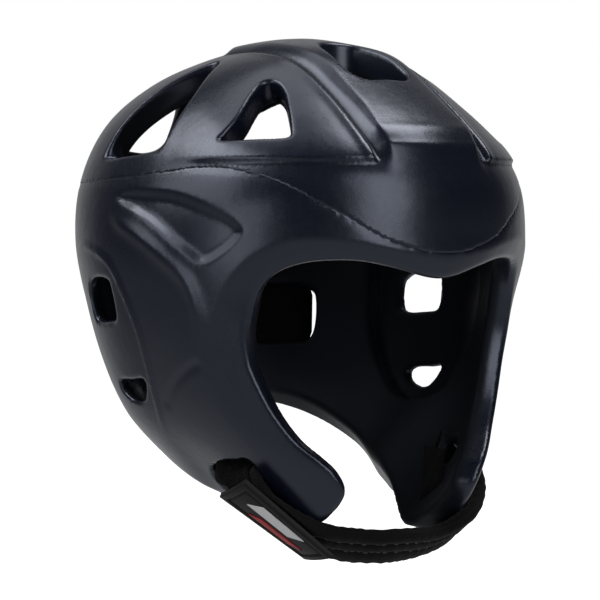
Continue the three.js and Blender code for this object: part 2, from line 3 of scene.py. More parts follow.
import bpy
import numpy as np
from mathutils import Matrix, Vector


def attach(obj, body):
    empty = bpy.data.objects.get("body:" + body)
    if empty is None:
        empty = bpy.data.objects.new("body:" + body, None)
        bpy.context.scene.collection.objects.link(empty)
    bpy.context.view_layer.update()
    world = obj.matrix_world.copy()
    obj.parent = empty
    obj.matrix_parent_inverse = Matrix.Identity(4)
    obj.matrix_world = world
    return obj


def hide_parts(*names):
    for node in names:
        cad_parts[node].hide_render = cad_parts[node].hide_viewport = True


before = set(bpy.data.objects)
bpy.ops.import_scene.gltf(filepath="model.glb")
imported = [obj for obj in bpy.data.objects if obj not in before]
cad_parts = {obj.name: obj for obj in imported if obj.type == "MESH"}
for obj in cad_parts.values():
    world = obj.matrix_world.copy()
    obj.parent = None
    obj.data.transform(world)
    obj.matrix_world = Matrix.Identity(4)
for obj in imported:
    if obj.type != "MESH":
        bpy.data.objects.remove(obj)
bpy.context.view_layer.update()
print("frame loaded:", sorted(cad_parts))

# Sizes are in millimetres about the head's centre until a mesh is made, then metres in the part's frame.
# A place on the shell is an azimuth from the face, plus to the wearer's right, and a latitude, in degrees.
headDrop = 82.0
degree = math.pi / 180


def toFrame(points):
    return (np.asarray(points, float) + np.array([0.0, 0.0, -headDrop])) / 1000


def smooth(low, high, x):
    t = np.clip((x - low) / (high - low), 0, 1)
    return t * t * (3 - 2 * t)


def softMax(a, b, width):
    h = np.maximum(width - np.abs(a - b), 0) / width
    return np.maximum(a, b) + h * h * width / 4


def unit(v):
    return v / np.linalg.norm(v, axis=-1, keepdims=True)


def hermite(t, start, end, leave, arrive):
    return ((1 + 2 * t) * (1 - t) ** 2 * start + t * (1 - t) ** 2 * leave
            + t * t * (3 - 2 * t) * end + t * t * (t - 1) * arrive)


def curveThrough(rows, column, samples=1800):
    keys = np.array([r[0] for r in rows], float)
    values = np.array([r[column] for r in rows], float)
    last = len(keys) - 1
    before = np.maximum(np.arange(last + 1) - 1, 0)
    after = np.minimum(np.arange(last + 1) + 1, last)
    slope = (values[after] - values[before]) / (keys[after] - keys[before])
    at = np.linspace(keys[0], keys[-1], samples)
    i = np.clip(np.searchsorted(keys, at, side="right") - 1, 0, last - 1)
    span = keys[i + 1] - keys[i]
    got = hermite((at - keys[i]) / span, values[i], values[i + 1], span * slope[i], span * slope[i + 1])
    return lambda x: np.interp(x, at, got)


def roundOutline(places, each=14, closed=True):  # centripetal curve through the places
    p = np.array(places, float)
    n = len(p)
    if closed:
        quads = [(p[i - 1], p[i], p[(i + 1) % n], p[(i + 2) % n]) for i in range(n)]
    else:
        q = np.vstack([2 * p[0] - p[1], p, 2 * p[-1] - p[-2]])
        quads = [(q[i], q[i + 1], q[i + 2], q[i + 3]) for i in range(n - 1)]
    t = (np.arange(each) / each)[:, None]
    made = []
    for a, b, c, d in quads:
        ab, bc, cd = (np.sqrt(np.linalg.norm(v)) + 1e-9 for v in (b - a, c - b, d - c))
        m1 = ((b - a) / ab - (c - a) / (ab + bc) + (c - b) / bc) * bc
        m2 = ((c - b) / bc - (d - b) / (bc + cd) + (d - c) / cd) * bc
        made.append(hermite(t, b, c, m1, m2))
    if not closed:
        made.append(p[-1:])
    return np.vstack(made)


# The foam shell: latitude, radius at the side, front and back, squareness of the rear quarter, wall
shellRows = [
    (-75, 137, 200, 140, 2, 16), (-60, 122.5, 178, 121, 2, 16), (-45, 115.5, 156, 116, 2, 15.5),
    (-30, 108, 134, 116, 2, 15), (-15, 104, 121, 118.5, 2, 15), (0, 103.5, 119, 120.5, 2.1, 15),
    (15, 103, 120.5, 121, 2.2, 15), (30, 102, 110, 119, 2.2, 15), (45, 100, 103, 113, 2.05, 14.5),
    (60, 97.5, 100.5, 104, 2, 14), (75, 96, 96.5, 98.5, 2, 14), (90, 96, 96, 96, 2, 14),
]
partingRows = [
    (0, -2.3), (5.5, -1.8), (15.5, 1.1), (23.4, 5.5), (30, 9), (40.5, 14.5), (51, 17.9), (60.7, 18.9),
    (74, 18.1), (103, 16.2), (129, 14.4), (180, 12),
]
rimRows = [  # azimuth, lower edge at the skin, lower edge at the inside of the wall
    (0, -50, -54), (20, -50.5, -54.5), (24, -52.5, -58), (27, -55, -62), (30, -57.5, -65), (34, -62, -68.4),
    (38, -65, -69.6), (45, -67, -70), (60, -68.5, -69.6), (78, -68.8, -69), (97, -66, -66.8),
    (121, -57.5, -59.6), (145, -49.5, -51.8), (162, -46, -49), (180, -44, -47.4),
]
faceRows = [  # edge of the face opening, crease of the band round it, sink at the edge
    (0, -8.2, 0, -2.4, 4), (12.3, -5.6, 11.7, -1.3, 4), (20.2, -4.1, 19.8, 0.2, 4), (27.9, -4, 28.5, 1.2, 4),
    (34.5, -4.9, 37.5, 0.9, 4), (40.3, -7.3, 46, -2.5, 4), (45, -11.9, 53, -9.5, 4),
    (47.7, -17.5, 57.5, -17, 3.5), (48.9, -22.7, 60, -25, 3), (48.2, -28.5, 60.2, -33, 3),
    (46, -32.7, 58.5, -39, 3), (41.9, -37.8, 53, -44.5, 3), (35.8, -42.1, 45.5, -49, 3),
    (29.8, -44.1, 38, -52, 2.6), (25.7, -45.7, 33.5, -54.6, 2.2), (22.6, -48.6, 29.5, -57, 1.8),
    (22.4, -51, 27.5, -58.6, 1.6), (22, -55, 25, -60.4, 1.5), (12, -62, 12, -63, 3), (0, -64, 0, -65, 3),
]
crownVentSkins = [
    [(56.8, 26.6), (47, 26.2), (38, 26.2), (37.2, 26.7), (37.4, 31), (38.4, 36.7), (40.5, 43.6), (43.5, 47.2),
     (46.5, 48.3), (49.3, 47.3), (51.4, 43), (53.7, 33), (56.2, 28.2), (57.1, 27)],
    [(108.4, 22.8), (94, 23.7), (81.5, 24.8), (79.4, 25), (78.9, 26.5), (78.5, 29), (78.2, 33), (78.8, 44.4),
     (84, 54), (91, 60.5), (97.3, 62.6), (101.5, 61.4), (105.4, 56), (107.6, 46), (108.4, 34), (109, 24)],
    [(175.5, 22.5), (165, 21.6), (154, 22.6), (145, 25.6), (144.6, 31), (144, 39.5), (141, 47), (146.5, 51.5),
     (156, 48.5), (165, 43), (172, 37), (175.4, 30)],
]
crownVentInsides = [
    crownVentSkins[0],
    [(120.5, 24.6), (100, 23.8), (80.2, 25.2), (78.6, 33), (78.8, 45), (84, 55), (92, 61), (101, 61.8),
     (109, 57), (116, 47), (121, 33)],
    [(165.5, 24.8), (157, 24.8), (150, 25.4), (145, 26.2), (145.2, 31), (144.4, 39.5), (141.4, 47),
     (145.5, 50.5), (152, 47), (159, 41.5), (164, 36), (165.8, 30)],
]
guardHoles = [  # upper and lower ear hole, rear window
    [(96.4, -10.4), (103, -9.4), (110.3, -10.8), (112.4, -13), (111.4, -20), (109, -21), (102, -21),
     (96, -20.2), (95.2, -18.5), (95.8, -12)],
    [(88.6, -35.4), (95, -35.6), (103.4, -36), (105, -37), (104, -38.8), (100, -40.4), (96, -41),
     (91.6, -40.3), (89, -38.1), (88, -36.3)],
    [(141, -16), (144, -13.6), (152, -13.4), (160, -13.6), (163, -16), (163, -27), (160, -29.6), (150, -29.6),
     (143.4, -29.4), (141, -27)],
]
strapSlot = [
    (75.8, -60), (66, -55.6), (55.7, -51.8), (50.6, -50.4), (48.4, -52.2), (49.4, -55.8), (58, -60.4),
    (68, -64), (75, -65), (77.4, -62.6),
]
strapMouth = [
    (48, -53.4), (43, -50.4), (39.5, -50.2), (36.5, -52), (36.5, -54.4), (40, -55.8), (44, -56), (47, -55.2),
]
topVentPlan = [(0, -71.5), (10, -71), (15.5, -66), (16.5, -55), (14, -40), (9, -30), (0, -27)]
sideRecess = [
    (94, 12), (88, 14), (78, 13.9), (68, 12.8), (57, 9.2), (50.4, 6), (48, 3.2), (49.6, 0.4), (54.5, -3.4),
    (59.5, -5.2), (66.6, -1.4), (75, 4), (83, 7.4), (91, 10),
]
earPanel = [
    (116, -1), (105.4, -1.6), (94.5, -5.4), (88.2, -13.9), (84.2, -23.7), (83.8, -34.1), (86, -44), (94, -52),
    (106, -52), (117, -46), (125, -36), (129, -24), (127, -10),
]
earPocket = [
    (122, -2), (124, -15), (122, -30), (115, -42), (104, -49), (88, -51), (70, -46), (60, -30), (62, -12),
    (74, 1), (104, 4),
]
ribLine = [(94.8, 6.6), (83.4, 2.9), (72.3, -3.1), (64.5, -9.4), (61.8, -17), (61.4, -27)]
crescentLine = [(64, -30), (69, -32.5), (75, -36.4), (80, -41)]
shellShape = {
    "crownVoxel": 1.25,
    "guardVoxel": 1.56,
    "crownBox": ((-106, -126, -10), (106, 128, 106)),
    "guardBox": ((-114, -126, -150), (114, 128, 46)),
    "netReach": (18.5, 7),  # below and above the skin
    "settleRounds": 4,
    "wallRound": 2.0,
    "seamRound": 0.5,
    "tuck": (1.4, 0.22, -3.5, -0.4),  # run under the crown, step down, where the step begins and ends
    "edgeRound": 3.0,
    "tipRound": 9.0,
    "ventRound": 2.4,
    "holeRound": 2.4,
    "holeTurn": (6.0, 128, 118),  # ear holes turn in by this much, the rear windows don't
    "slotDepth": 0.6,
    "earWall": 5.0,
    "pocketSlope": 9,
    "pocketFade": (58, 86),
    "topVentNear": ((-32, -90, 30), (32, -8, 200)),
    "bulge": (115, -48, 32, 26, 3.4),  # azimuth, latitude, width, height, rise
    "lean": (-4, 10, 45),  # wall cuts lean by this much between these latitudes below level
    "turnIn": (2.2, 6, 20),  # and the cheeks' cut turns in
}

sideOf, frontOf, backOf, squareOf, wallOf = (curveThrough(shellRows, k) for k in range(1, 6))
partingOf = curveThrough(partingRows, 1)
rimSkinOf, rimInnerOf = curveThrough(rimRows, 1), curveThrough(rimRows, 2)


def outerRadius(az, lat):
    a = np.radians(np.abs(az))
    s, c = np.sin(a), np.cos(a)
    end = np.where(c > 0, frontOf(lat), backOf(lat))
    power = np.where(c > 0, 2.0, squareOf(lat))
    total = (s / sideOf(lat)) ** power + (np.abs(c) / end) ** power
    atAz, atLat, wide, tall, rise = shellShape["bulge"]
    swell = np.exp(-((np.abs(az) - atAz) / wide) ** 2 - ((lat - atLat) / tall) ** 2)
    return total ** (-1 / power) + rise * swell


def direction(az, lat):
    a, l = np.radians(az), np.radians(lat)
    return np.stack([-np.sin(a) * np.cos(l), -np.cos(a) * np.cos(l), np.sin(l)], -1)


def onShell(az, lat, rise=0.0):
    return direction(az, lat) * (outerRadius(az, lat) + rise)[..., None]


# Maps over azimuth and latitude, read back by interpolation
mapStep = 0.25
mapAz = np.arange(0, 180 + mapStep / 2, mapStep)
mapLat = np.arange(-80, 90 + mapStep / 2, mapStep)
gridAz, gridLat = np.meshgrid(mapAz, mapLat, indexing="ij")
radiusMap = outerRadius(gridAz, gridLat)
skinMap = direction(gridAz, gridLat) * radiusMap[..., None]


def mapReader(az, lat):
    u = np.clip(np.abs(az) / mapStep, 0, len(mapAz) - 1.001)
    v = np.clip((lat - mapLat[0]) / mapStep, 0, len(mapLat) - 1.001)
    i, j = u.astype(np.int32), v.astype(np.int32)
    fu, fv = u - i, v - j
    k = i * len(mapLat) + j
    def read(grid):
        flat = grid.ravel()
        near = flat[k] * (1 - fv) + flat[k + 1] * fv
        far = flat[k + len(mapLat)] * (1 - fv) + flat[k + len(mapLat) + 1] * fv
        return near * (1 - fu) + far * fu
    return read


def distanceTo(points, ring, closed):
    best = np.full(len(points), 1e9)
    last = len(ring) if closed else len(ring) - 1
    for i in range(last):
        a, b = ring[i], ring[(i + 1) % len(ring)]
        ab = b - a
        t = np.clip((points - a) @ ab / max(ab @ ab, 1e-12), 0, 1)
        gap = points - a - t[:, None] * ab
        best = np.minimum(best, np.einsum("ij,ij->i", gap, gap))
    return np.sqrt(best)


def within(px, py, ring):
    inside = np.zeros(len(px), bool)
    for i in range(len(ring)):
        (x1, y1), (x2, y2) = ring[i - 1], ring[i]
        if y1 != y2:
            crosses = ((y1 > py) != (y2 > py)) & (px < (x2 - x1) * (py - y1) / (y2 - y1) + x1)
            inside ^= crosses
    return inside


def lineMap(outline, reach=26.0, closed=True):  # distance on the skin, negative inside a closed outline
    got = np.full(gridAz.shape, reach)
    margin = reach / 1.3
    pick = ((gridAz > outline[:, 0].min() - margin) & (gridAz < outline[:, 0].max() + margin)
            & (gridLat > outline[:, 1].min() - margin) & (gridLat < outline[:, 1].max() + margin))
    ring = onShell(outline[:, 0], outline[:, 1])
    far = distanceTo(skinMap[pick], ring, closed)
    if closed:
        far = np.where(within(gridAz[pick], gridLat[pick], outline), -far, far)
    got[pick] = np.minimum(far, reach)
    return got


def mirroredOutline(half):  # closed outline across the front from its half on the wearer's right
    half = np.array(half, float)
    other = half[1:-1][::-1] * np.array([-1, 1])
    return np.vstack([half, other])


ventSkinMap = np.minimum.reduce([lineMap(roundOutline(v)) for v in crownVentSkins])
ventInsideMap = np.minimum.reduce([lineMap(roundOutline(v)) for v in crownVentInsides])
holeMap = np.minimum.reduce([lineMap(roundOutline(h)) for h in guardHoles])
slotMap, mouthMap = lineMap(roundOutline(strapSlot)), lineMap(roundOutline(strapMouth))
faceEdge = roundOutline(mirroredOutline([r[:2] for r in faceRows]), 6)
faceCrease = roundOutline(mirroredOutline([r[2:4] for r in faceRows]), 6)
faceMap, creaseMap = lineMap(faceEdge), lineMap(faceCrease)
pocketMap = lineMap(roundOutline(earPocket))
panelMap = lineMap(roundOutline(earPanel))
recessMap = lineMap(roundOutline(sideRecess))
ribMap = lineMap(roundOutline(ribLine, closed=False), closed=False)
crescentMap = lineMap(roundOutline(crescentLine, closed=False), closed=False)
print("shell maps ready")


# Relief of the crown: a raised band between two sickle-shaped grooves, its shoulder and the ledges beside it
crownShape = {
    "bandRise": 2.6,
    "bandRear": (20, 14, 5, 4),  # end of the band behind, bow of that end, slope before it and after it
    "bandFront": (43, 52),  # heights
    "grooveEdge": 31.6,
    "grooveWidth": 10.5,
    "grooveNarrow": (6.0, 42, 62),  # narrower by this much at the front, between these heights
    "grooveDepth": 4.2,
    "grooveLeast": 0.25,
    "grooveSwing": (104, 21),  # from behind the top to the brow, degrees up from the front
    "grooveFade": (8, 6),
    "grooveFront": (36.5, 40, 64),  # heights where it starts, opens and is full
    "grooveCurl": 1.9,
    "grooveWall": (-1.1, 1.3),
    "lip": (0.6, 2, 2.2, 36, 40),  # rise, place beside the groove, width, heights where it starts
    "shoulder": (44, 14, 32, 4.5),  # height, reach below, reach above, rise
    "shoulderSides": (30, 23),
    "shoulderRound": 0.3,
    "ledgeRise": 2.2,
    "ledgeHeights": (36, 38.6, 40, 68),
    "ledgeTurn": (8, 15, 54, 74),
    "ledgeWall": (0.7, 1),
    "shade": (1.0, 1.3, 38, 44),  # painted shade line in the groove: place, width, heights where it starts
}


def hump(low, rise, fall, high, x):  # up from low to rise, down from fall to high
    return smooth(low, rise, x) * (1 - smooth(fall, high, x))


def crownReliefMap():
    s = crownShape
    x, y, z = np.abs(skinMap[..., 0]), skinMap[..., 1], skinMap[..., 2]
    swing = np.degrees(np.arctan2(z, -y))
    ahead = y < 0
    edge = s["grooveEdge"]
    rear, bow, before, after = s["bandRear"]
    rear = rear + bow * (1 - (x / edge) ** 2)
    band = s["bandRise"] * (1 - smooth(rear - before, rear + after, y))
    band = band * np.where(ahead, smooth(*s["bandFront"], z), 1)
    begin, end = s["grooveSwing"]
    before, after = s["grooveFade"]
    fade = 1 - smooth(begin - before, begin + after, swing)
    opened = np.sin(np.clip((begin - swing) / (begin - end), 0, 1) * math.pi / 2)
    least = s["grooveLeast"]
    start, opens, full = s["grooveFront"]
    depth = s["grooveDepth"] * (least + (1 - least) * opened) * fade
    rising = smooth(start, opens, z) * (least + (1 - least) * smooth(opens, full, z))
    depth = depth * np.where(ahead, rising, 1)
    narrow, low, high = s["grooveNarrow"]
    wide = s["grooveWidth"] - np.where(ahead, narrow * (1 - smooth(low, high, z)), 0)
    slope = 1 - (1 - np.clip((edge - x) / wide, 0, 1)) ** s["grooveCurl"]
    relief = (-depth + (band + depth) * slope) * smooth(*s["grooveWall"], edge - x)
    rise, place, width, low, high = s["lip"]
    lip = rise * opened * np.exp(-((x - edge - place) / width) ** 2) * fade
    lip = lip * np.where(ahead, smooth(low, high, z), 1)
    height, below, above, rise = s["shoulder"]
    up = np.clip((z - height + below) / below, 0, 1) ** 2
    down = np.clip(1 - (z - height) / above, 0, 1) ** 2
    crest = -softMax(-up, -down, s["shoulderRound"]) * rise * smooth(*s["shoulderSides"], x) * ahead
    before, after = s["ledgeWall"]
    ledge = s["ledgeRise"] * hump(*s["ledgeHeights"], z) * hump(*s["ledgeTurn"], gridAz)
    ledge = ledge * smooth(edge - before, edge + after, x)
    # painted shade: a dark line along the bottom of each groove, mixed into the inside colour
    place, width, low, high = s["shade"]
    shade = np.exp(-((edge - x - place) / width) ** 2) * fade
    return relief + lip + crest + ledge, shade * np.where(ahead, smooth(low, high, z), 1)


# Relief of the lower guard: the band round the face, the ear panel, the side recess with its rib, a crescent
guardShape = {
    "bandBend": 0.04,
    "earRidge": (0.9, 0.6, 1.4),  # rise, place inside the panel's edge, width
    "earSwell": (0.4, -1, 3, 14),  # rise, where it starts and is full, how far in it fades
    "earRear": (124, 26, 0.05),  # azimuth where it ends, reach, least share
    "earLow": (-51, -40),
    "recessDepth": 2.21,
    "recessSlope": (-0.8, 5.2),
    "rib": (1.445, 3.8),  # rise, width
    "ribLow": (-29, -12),
    "ribRear": (86, 97),
    "crescent": (0.7, 2.4),  # depth, width
}


def guardReliefMap():
    s = guardShape
    sink = curveThrough(sorted((r[1], r[4]) for r in faceRows[:-2]), 1)(gridLat)
    inBand = np.maximum(-creaseMap, 0)
    share = inBand / np.maximum(inBand + np.maximum(faceMap, 0), 1e-6)
    bend = s["bandBend"]
    band = -sink * (1 + bend) * share * share / (share + bend)
    inPanel = -panelMap
    rise, place, width = s["earRidge"]
    ridge = rise * np.exp(-((inPanel - place) / width) ** 2)
    rise, start, full, reach = s["earSwell"]
    swell = rise * smooth(start, full, inPanel) * np.exp(-(np.maximum(inPanel - full, 0) / reach) ** 2)
    rear, reach, least = s["earRear"]
    panel = (ridge + swell) * np.clip((rear - gridAz) / reach, least, 1) * smooth(*s["earLow"], gridLat)
    recess = -s["recessDepth"] * smooth(*s["recessSlope"], -recessMap)
    rise, width = s["rib"]
    rib = rise * np.exp(-(ribMap / width) ** 2)
    rib = rib * smooth(*s["ribLow"], gridLat) * (1 - smooth(*s["ribRear"], gridAz))
    depth, width = s["crescent"]
    return band + panel + recess + rib - depth * np.exp(-(crescentMap / width) ** 2)


(crownRelief, grooveShade), guardRelief = crownReliefMap(), guardReliefMap()
pocketRise = (wallOf(gridLat) - shellShape["earWall"]) * smooth(0, shellShape["pocketSlope"], -pocketMap)
pocketRise = pocketRise * smooth(*shellShape["pocketFade"], gridAz)
topOutline = roundOutline(mirroredOutline(topVentPlan), 8)


def chartOf(p):
    r = np.sqrt(np.einsum("ij,ij->i", p, p))
    lat = np.degrees(np.arcsin(np.clip(p[:, 2] / r, -1, 1)))
    az = np.abs(np.degrees(np.arctan2(-p[:, 0], -p[:, 1])))
    return az, lat, r


def topVentGap(p):  # distance to the top vent in plan, for the points near it
    got = np.full(len(p), 20.0)
    low, high = shellShape["topVentNear"]
    near = ((p > low) & (p < high)).all(1)
    flat = p[near][:, :2]
    if len(flat):
        far = distanceTo(flat, topOutline, True)
        got[near] = np.where(within(flat[:, 0], flat[:, 1], topOutline), -far, far)
    return got


def crownField(p):
    s = shellShape
    az, lat, r = chartOf(p)
    read = mapReader(az, lat)
    radius, wall = read(radiusMap), wallOf(lat)
    depth = np.clip((radius - r) / wall, 0, 1)
    body = softMax(r - radius - read(crownRelief), radius - wall - r, s["wallRound"])
    parting = (lat - partingOf(az)) * radius * degree
    body = softMax(body, -parting, s["seamRound"])
    vents = read(ventSkinMap) * (1 - depth) + read(ventInsideMap) * depth
    body = softMax(body, -vents, s["ventRound"])
    return softMax(body, -topVentGap(p), s["ventRound"])


rimSlope = np.sqrt(1 + (np.gradient(rimSkinOf(mapAz), mapStep) / np.cos(np.radians(rimSkinOf(mapAz)))) ** 2)


def guardField(p):
    s = shellShape
    az, lat, r = chartOf(p)
    read = mapReader(az, lat)
    radius, wall = read(radiusMap), wallOf(lat)
    deep = (radius - r) / wall
    depth = np.clip(deep, -0.3, 1)
    most, start, stop = s["lean"]
    parting = (lat - partingOf(az)) * radius * degree
    reach, step, begin, end = s["tuck"]
    skin = r - radius - read(guardRelief) + step * smooth(begin, end, parting)
    body = softMax(skin, radius - wall + read(pocketRise) - r, s["wallRound"])
    body = softMax(body, parting - reach, s["seamRound"])
    rim = (lat - rimSkinOf(az) * (1 - depth) - rimInnerOf(az) * depth) * radius * degree
    rim = rim / np.interp(az, mapAz, rimSlope)
    turn, above, below = s["turnIn"]
    drop = most * smooth(start, stop, -lat) * depth
    turned = mapReader(az + turn * smooth(above, below, -lat) * depth, lat - drop)
    body = softMax(body, softMax(-rim, -turned(faceMap), s["tipRound"]), s["edgeRound"])
    swing, begin, end = s["holeTurn"]
    bored = mapReader(az - swing * depth * smooth(begin, end, az), lat - drop)
    body = softMax(body, -bored(holeMap), s["holeRound"])
    body = softMax(body, -np.maximum(read(slotMap), (deep - s["slotDepth"]) * wall), s["holeRound"])
    return softMax(body, -np.maximum(read(mouthMap), (1 - s["slotDepth"] - deep) * wall), s["holeRound"])


def surfaceNet(low, high, step, fieldOf):
    axes = [np.arange(a, b, step) for a, b in zip(low, high)]
    shape = tuple(len(a) for a in axes)
    gx, gy, gz = np.meshgrid(*axes, indexing="ij", sparse=True)
    r = np.sqrt(gx * gx + gy * gy + gz * gz) + 1e-6
    lat = np.degrees(np.arcsin(np.clip(gz / r, -1, 1)))
    az = np.degrees(np.arctan2(-gx, -gy)) + 0 * gz
    radius = mapReader(az.ravel(), lat.ravel())(radiusMap).reshape(shape)
    below, above = shellShape["netReach"]
    near = (r < radius + above) & (r > radius - below)
    field = np.full(shape, 5.0)
    where = np.nonzero(near)
    points = np.stack([axes[k][where[k]] for k in range(3)], -1)
    chunks = np.array_split(points, max(1, len(points) // 400000))
    field[near] = np.concatenate([fieldOf(c) for c in chunks])
    inside = field < 0
    total = sum(inside[i:shape[0] - 1 + i, j:shape[1] - 1 + j, k:shape[2] - 1 + k].astype(np.int8)
                for i in (0, 1) for j in (0, 1) for k in (0, 1))
    cells = np.argwhere((total > 0) & (total < 8))
    index = np.full(total.shape, -1, np.int64)
    index[tuple(cells.T)] = np.arange(len(cells))
    spot, hits = np.zeros((len(cells), 3)), np.zeros(len(cells))
    corners = [np.array(c) for c in np.ndindex(2, 2, 2)]
    for a in corners:
        for axis in range(3):
            if a[axis]:
                continue
            b = a + np.eye(3, dtype=int)[axis]
            fa, fb = field[tuple((cells + a).T)], field[tuple((cells + b).T)]
            cut = (fa < 0) != (fb < 0)
            t = np.where(cut, fa / np.where(cut, fa - fb, 1), 0)[:, None]
            spot += np.where(cut[:, None], cells + a + t * (b - a), 0)
            hits += cut
    verts = spot / hits[:, None] * step + np.array(low)
    quads = []
    for axis in range(3):
        u, v = (axis + 1) % 3, (axis + 2) % 3
        one, two = [slice(None)] * 3, [slice(None)] * 3
        one[axis], two[axis] = slice(0, -1), slice(1, None)
        edge = np.argwhere(inside[tuple(one)] != inside[tuple(two)])
        across = edge[:, [u, v]]
        edge = edge[((across > 0) & (across < (shape[u] - 1, shape[v] - 1))).all(1)]
        du, dv = np.eye(3, dtype=int)[u], np.eye(3, dtype=int)[v]
        ring = np.stack([index[tuple((edge - d).T)] for d in (du + dv, dv, 0 * du, du)], -1)
        turn = inside[tuple(edge.T)]
        quads.append(np.where(turn[:, None], ring, ring[:, ::-1]))
    return verts, np.vstack(quads)


def settle(verts, quads, fieldOf, rounds):  # even the mesh out along the surface and draw it on to the field
    pairs = np.vstack([quads[:, [0, 1]], quads[:, [1, 2]], quads[:, [2, 3]], quads[:, [3, 0]]])
    count = np.bincount(pairs.ravel(), minlength=len(verts))[:, None]
    reach, least, ease = 0.25, 0.3, 0.45
    for turn in range(rounds):
        total = np.stack([
            np.bincount(pairs[:, 0], verts[pairs[:, 1], k], len(verts))
            + np.bincount(pairs[:, 1], verts[pairs[:, 0], k], len(verts)) for k in range(3)], -1)
        value = fieldOf(verts)
        slope = np.stack([fieldOf(verts + reach * np.eye(3)[k]) - value for k in range(3)], -1) / reach
        steep = np.maximum(np.linalg.norm(slope, axis=1, keepdims=True), least)
        normal = slope / steep
        slide = total / count - verts
        slide -= normal * np.einsum("ij,ij->i", normal, slide)[:, None]
        push = np.clip(value[:, None] / steep, -1.0, 1.0)
        verts = verts + (ease * slide if turn < rounds - 1 else 0) - normal * push
    return verts, normal


def placed(name, data):
    made = bpy.data.objects.new(name, data)
    bpy.context.scene.collection.objects.link(made)
    return made


def meshPiece(name, points, faces, finish, uv=None):
    mesh = bpy.data.meshes.new(name)
    mesh.from_pydata(np.asarray(points).tolist(), [], [list(f) for f in faces])
    mesh.materials.append(finish)
    mesh.polygons.foreach_set("use_smooth", np.ones(len(mesh.polygons), bool))
    if uv is not None:
        layer = mesh.uv_layers.new(name="weave")
        loops = np.zeros(len(mesh.loops), np.int32)
        mesh.loops.foreach_get("vertex_index", loops)
        layer.data.foreach_set("uv", np.asarray(uv, np.float32)[loops].ravel())
    mesh.update()
    return placed(name, mesh)


# Shader maths: a wire stands for a node's output, and sums on wires add Math nodes
class Wire:
    def __init__(self, finish, socket):
        self.finish, self.socket = finish, socket

    def __add__(self, other):
        return self.finish.sum("ADD", self, other)

    def __radd__(self, other):
        return self.finish.sum("ADD", other, self)

    def __sub__(self, other):
        return self.finish.sum("SUBTRACT", self, other)

    def __rsub__(self, other):
        return self.finish.sum("SUBTRACT", other, self)

    def __mul__(self, other):
        return self.finish.sum("MULTIPLY", self, other)

    def __rmul__(self, other):
        return self.finish.sum("MULTIPLY", other, self)

    def __pow__(self, other):
        return self.finish.sum("POWER", self, other)


class Finish:
    def __init__(self, name, blocks=bpy.data.materials):
        self.block = blocks.new(name)
        self.block.use_nodes = True
        self.tree = self.block.node_tree
        self.tree.nodes.clear()

    def add(self, kind, settings=None, sockets=None, output=0):
        node = self.tree.nodes.new(kind)
        for key, value in (settings or {}).items():
            setattr(node, key, value)
        for key, value in (sockets or {}).items():
            if isinstance(value, Wire):
                self.tree.links.new(value.socket, node.inputs[key])
            else:
                node.inputs[key].default_value = value
        return Wire(self, node.outputs[output]) if len(node.outputs) else None

    def place(self):
        return self.add("ShaderNodeTexCoord", output=3)

    def sum(self, operation, *terms, clamped=False):
        kind = {"operation": operation, "use_clamp": clamped}
        return self.add("ShaderNodeMath", kind, dict(enumerate(terms)))

    def noise(self, scale, detail=3.0, rough=0.5):
        return self.add("ShaderNodeTexNoise", {}, {
            "Vector": self.place(), "Scale": scale, "Detail": detail, "Roughness": rough})

    def blend(self, factor, first, second):
        return self.add("ShaderNodeMix", {"data_type": "RGBA"}, {0: factor, 6: first, 7: second}, 2)

    def bump(self, height, strength, distance, under=None):
        sockets = {"Height": height, "Strength": strength, "Distance": distance}
        if under:
            sockets["Normal"] = under
        return self.add("ShaderNodeBump", {}, sockets)

    def surface(self, sockets, share=None, other=None):
        shader = self.add("ShaderNodeBsdfPrincipled", {}, sockets)
        if other:
            second = self.add("ShaderNodeBsdfPrincipled", {}, other)
            shader = self.add("ShaderNodeMixShader", {}, {0: share, 1: shader, 2: second})
        self.add("ShaderNodeOutputMaterial", {}, {"Surface": shader})
        return self.block


skinLook = {
    "dark": (0.0046, 0.0060, 0.0150, 1),
    "light": (0.0062, 0.0080, 0.0190, 1),
    "shine": (0.76, 0.83, 1.0, 1),
    "roughness": 0.28,
    # the inside colours below also serve as painted shade on edge walls, the lower edge's underside and the
    # groove's crease
    "inside_and_painted_shade": (0.0020, 0.0025, 0.0048, 1),
    "insideShadeLight": (0.0042, 0.0050, 0.0090, 1),
    "insideShadeRoughness": 0.30,
    "seam": (0.0020, 0.0022, 0.0040, 1),
    "seamThin": 1900.0,
    "seamTop": -0.0845,
    "seamBack": -0.05,
}


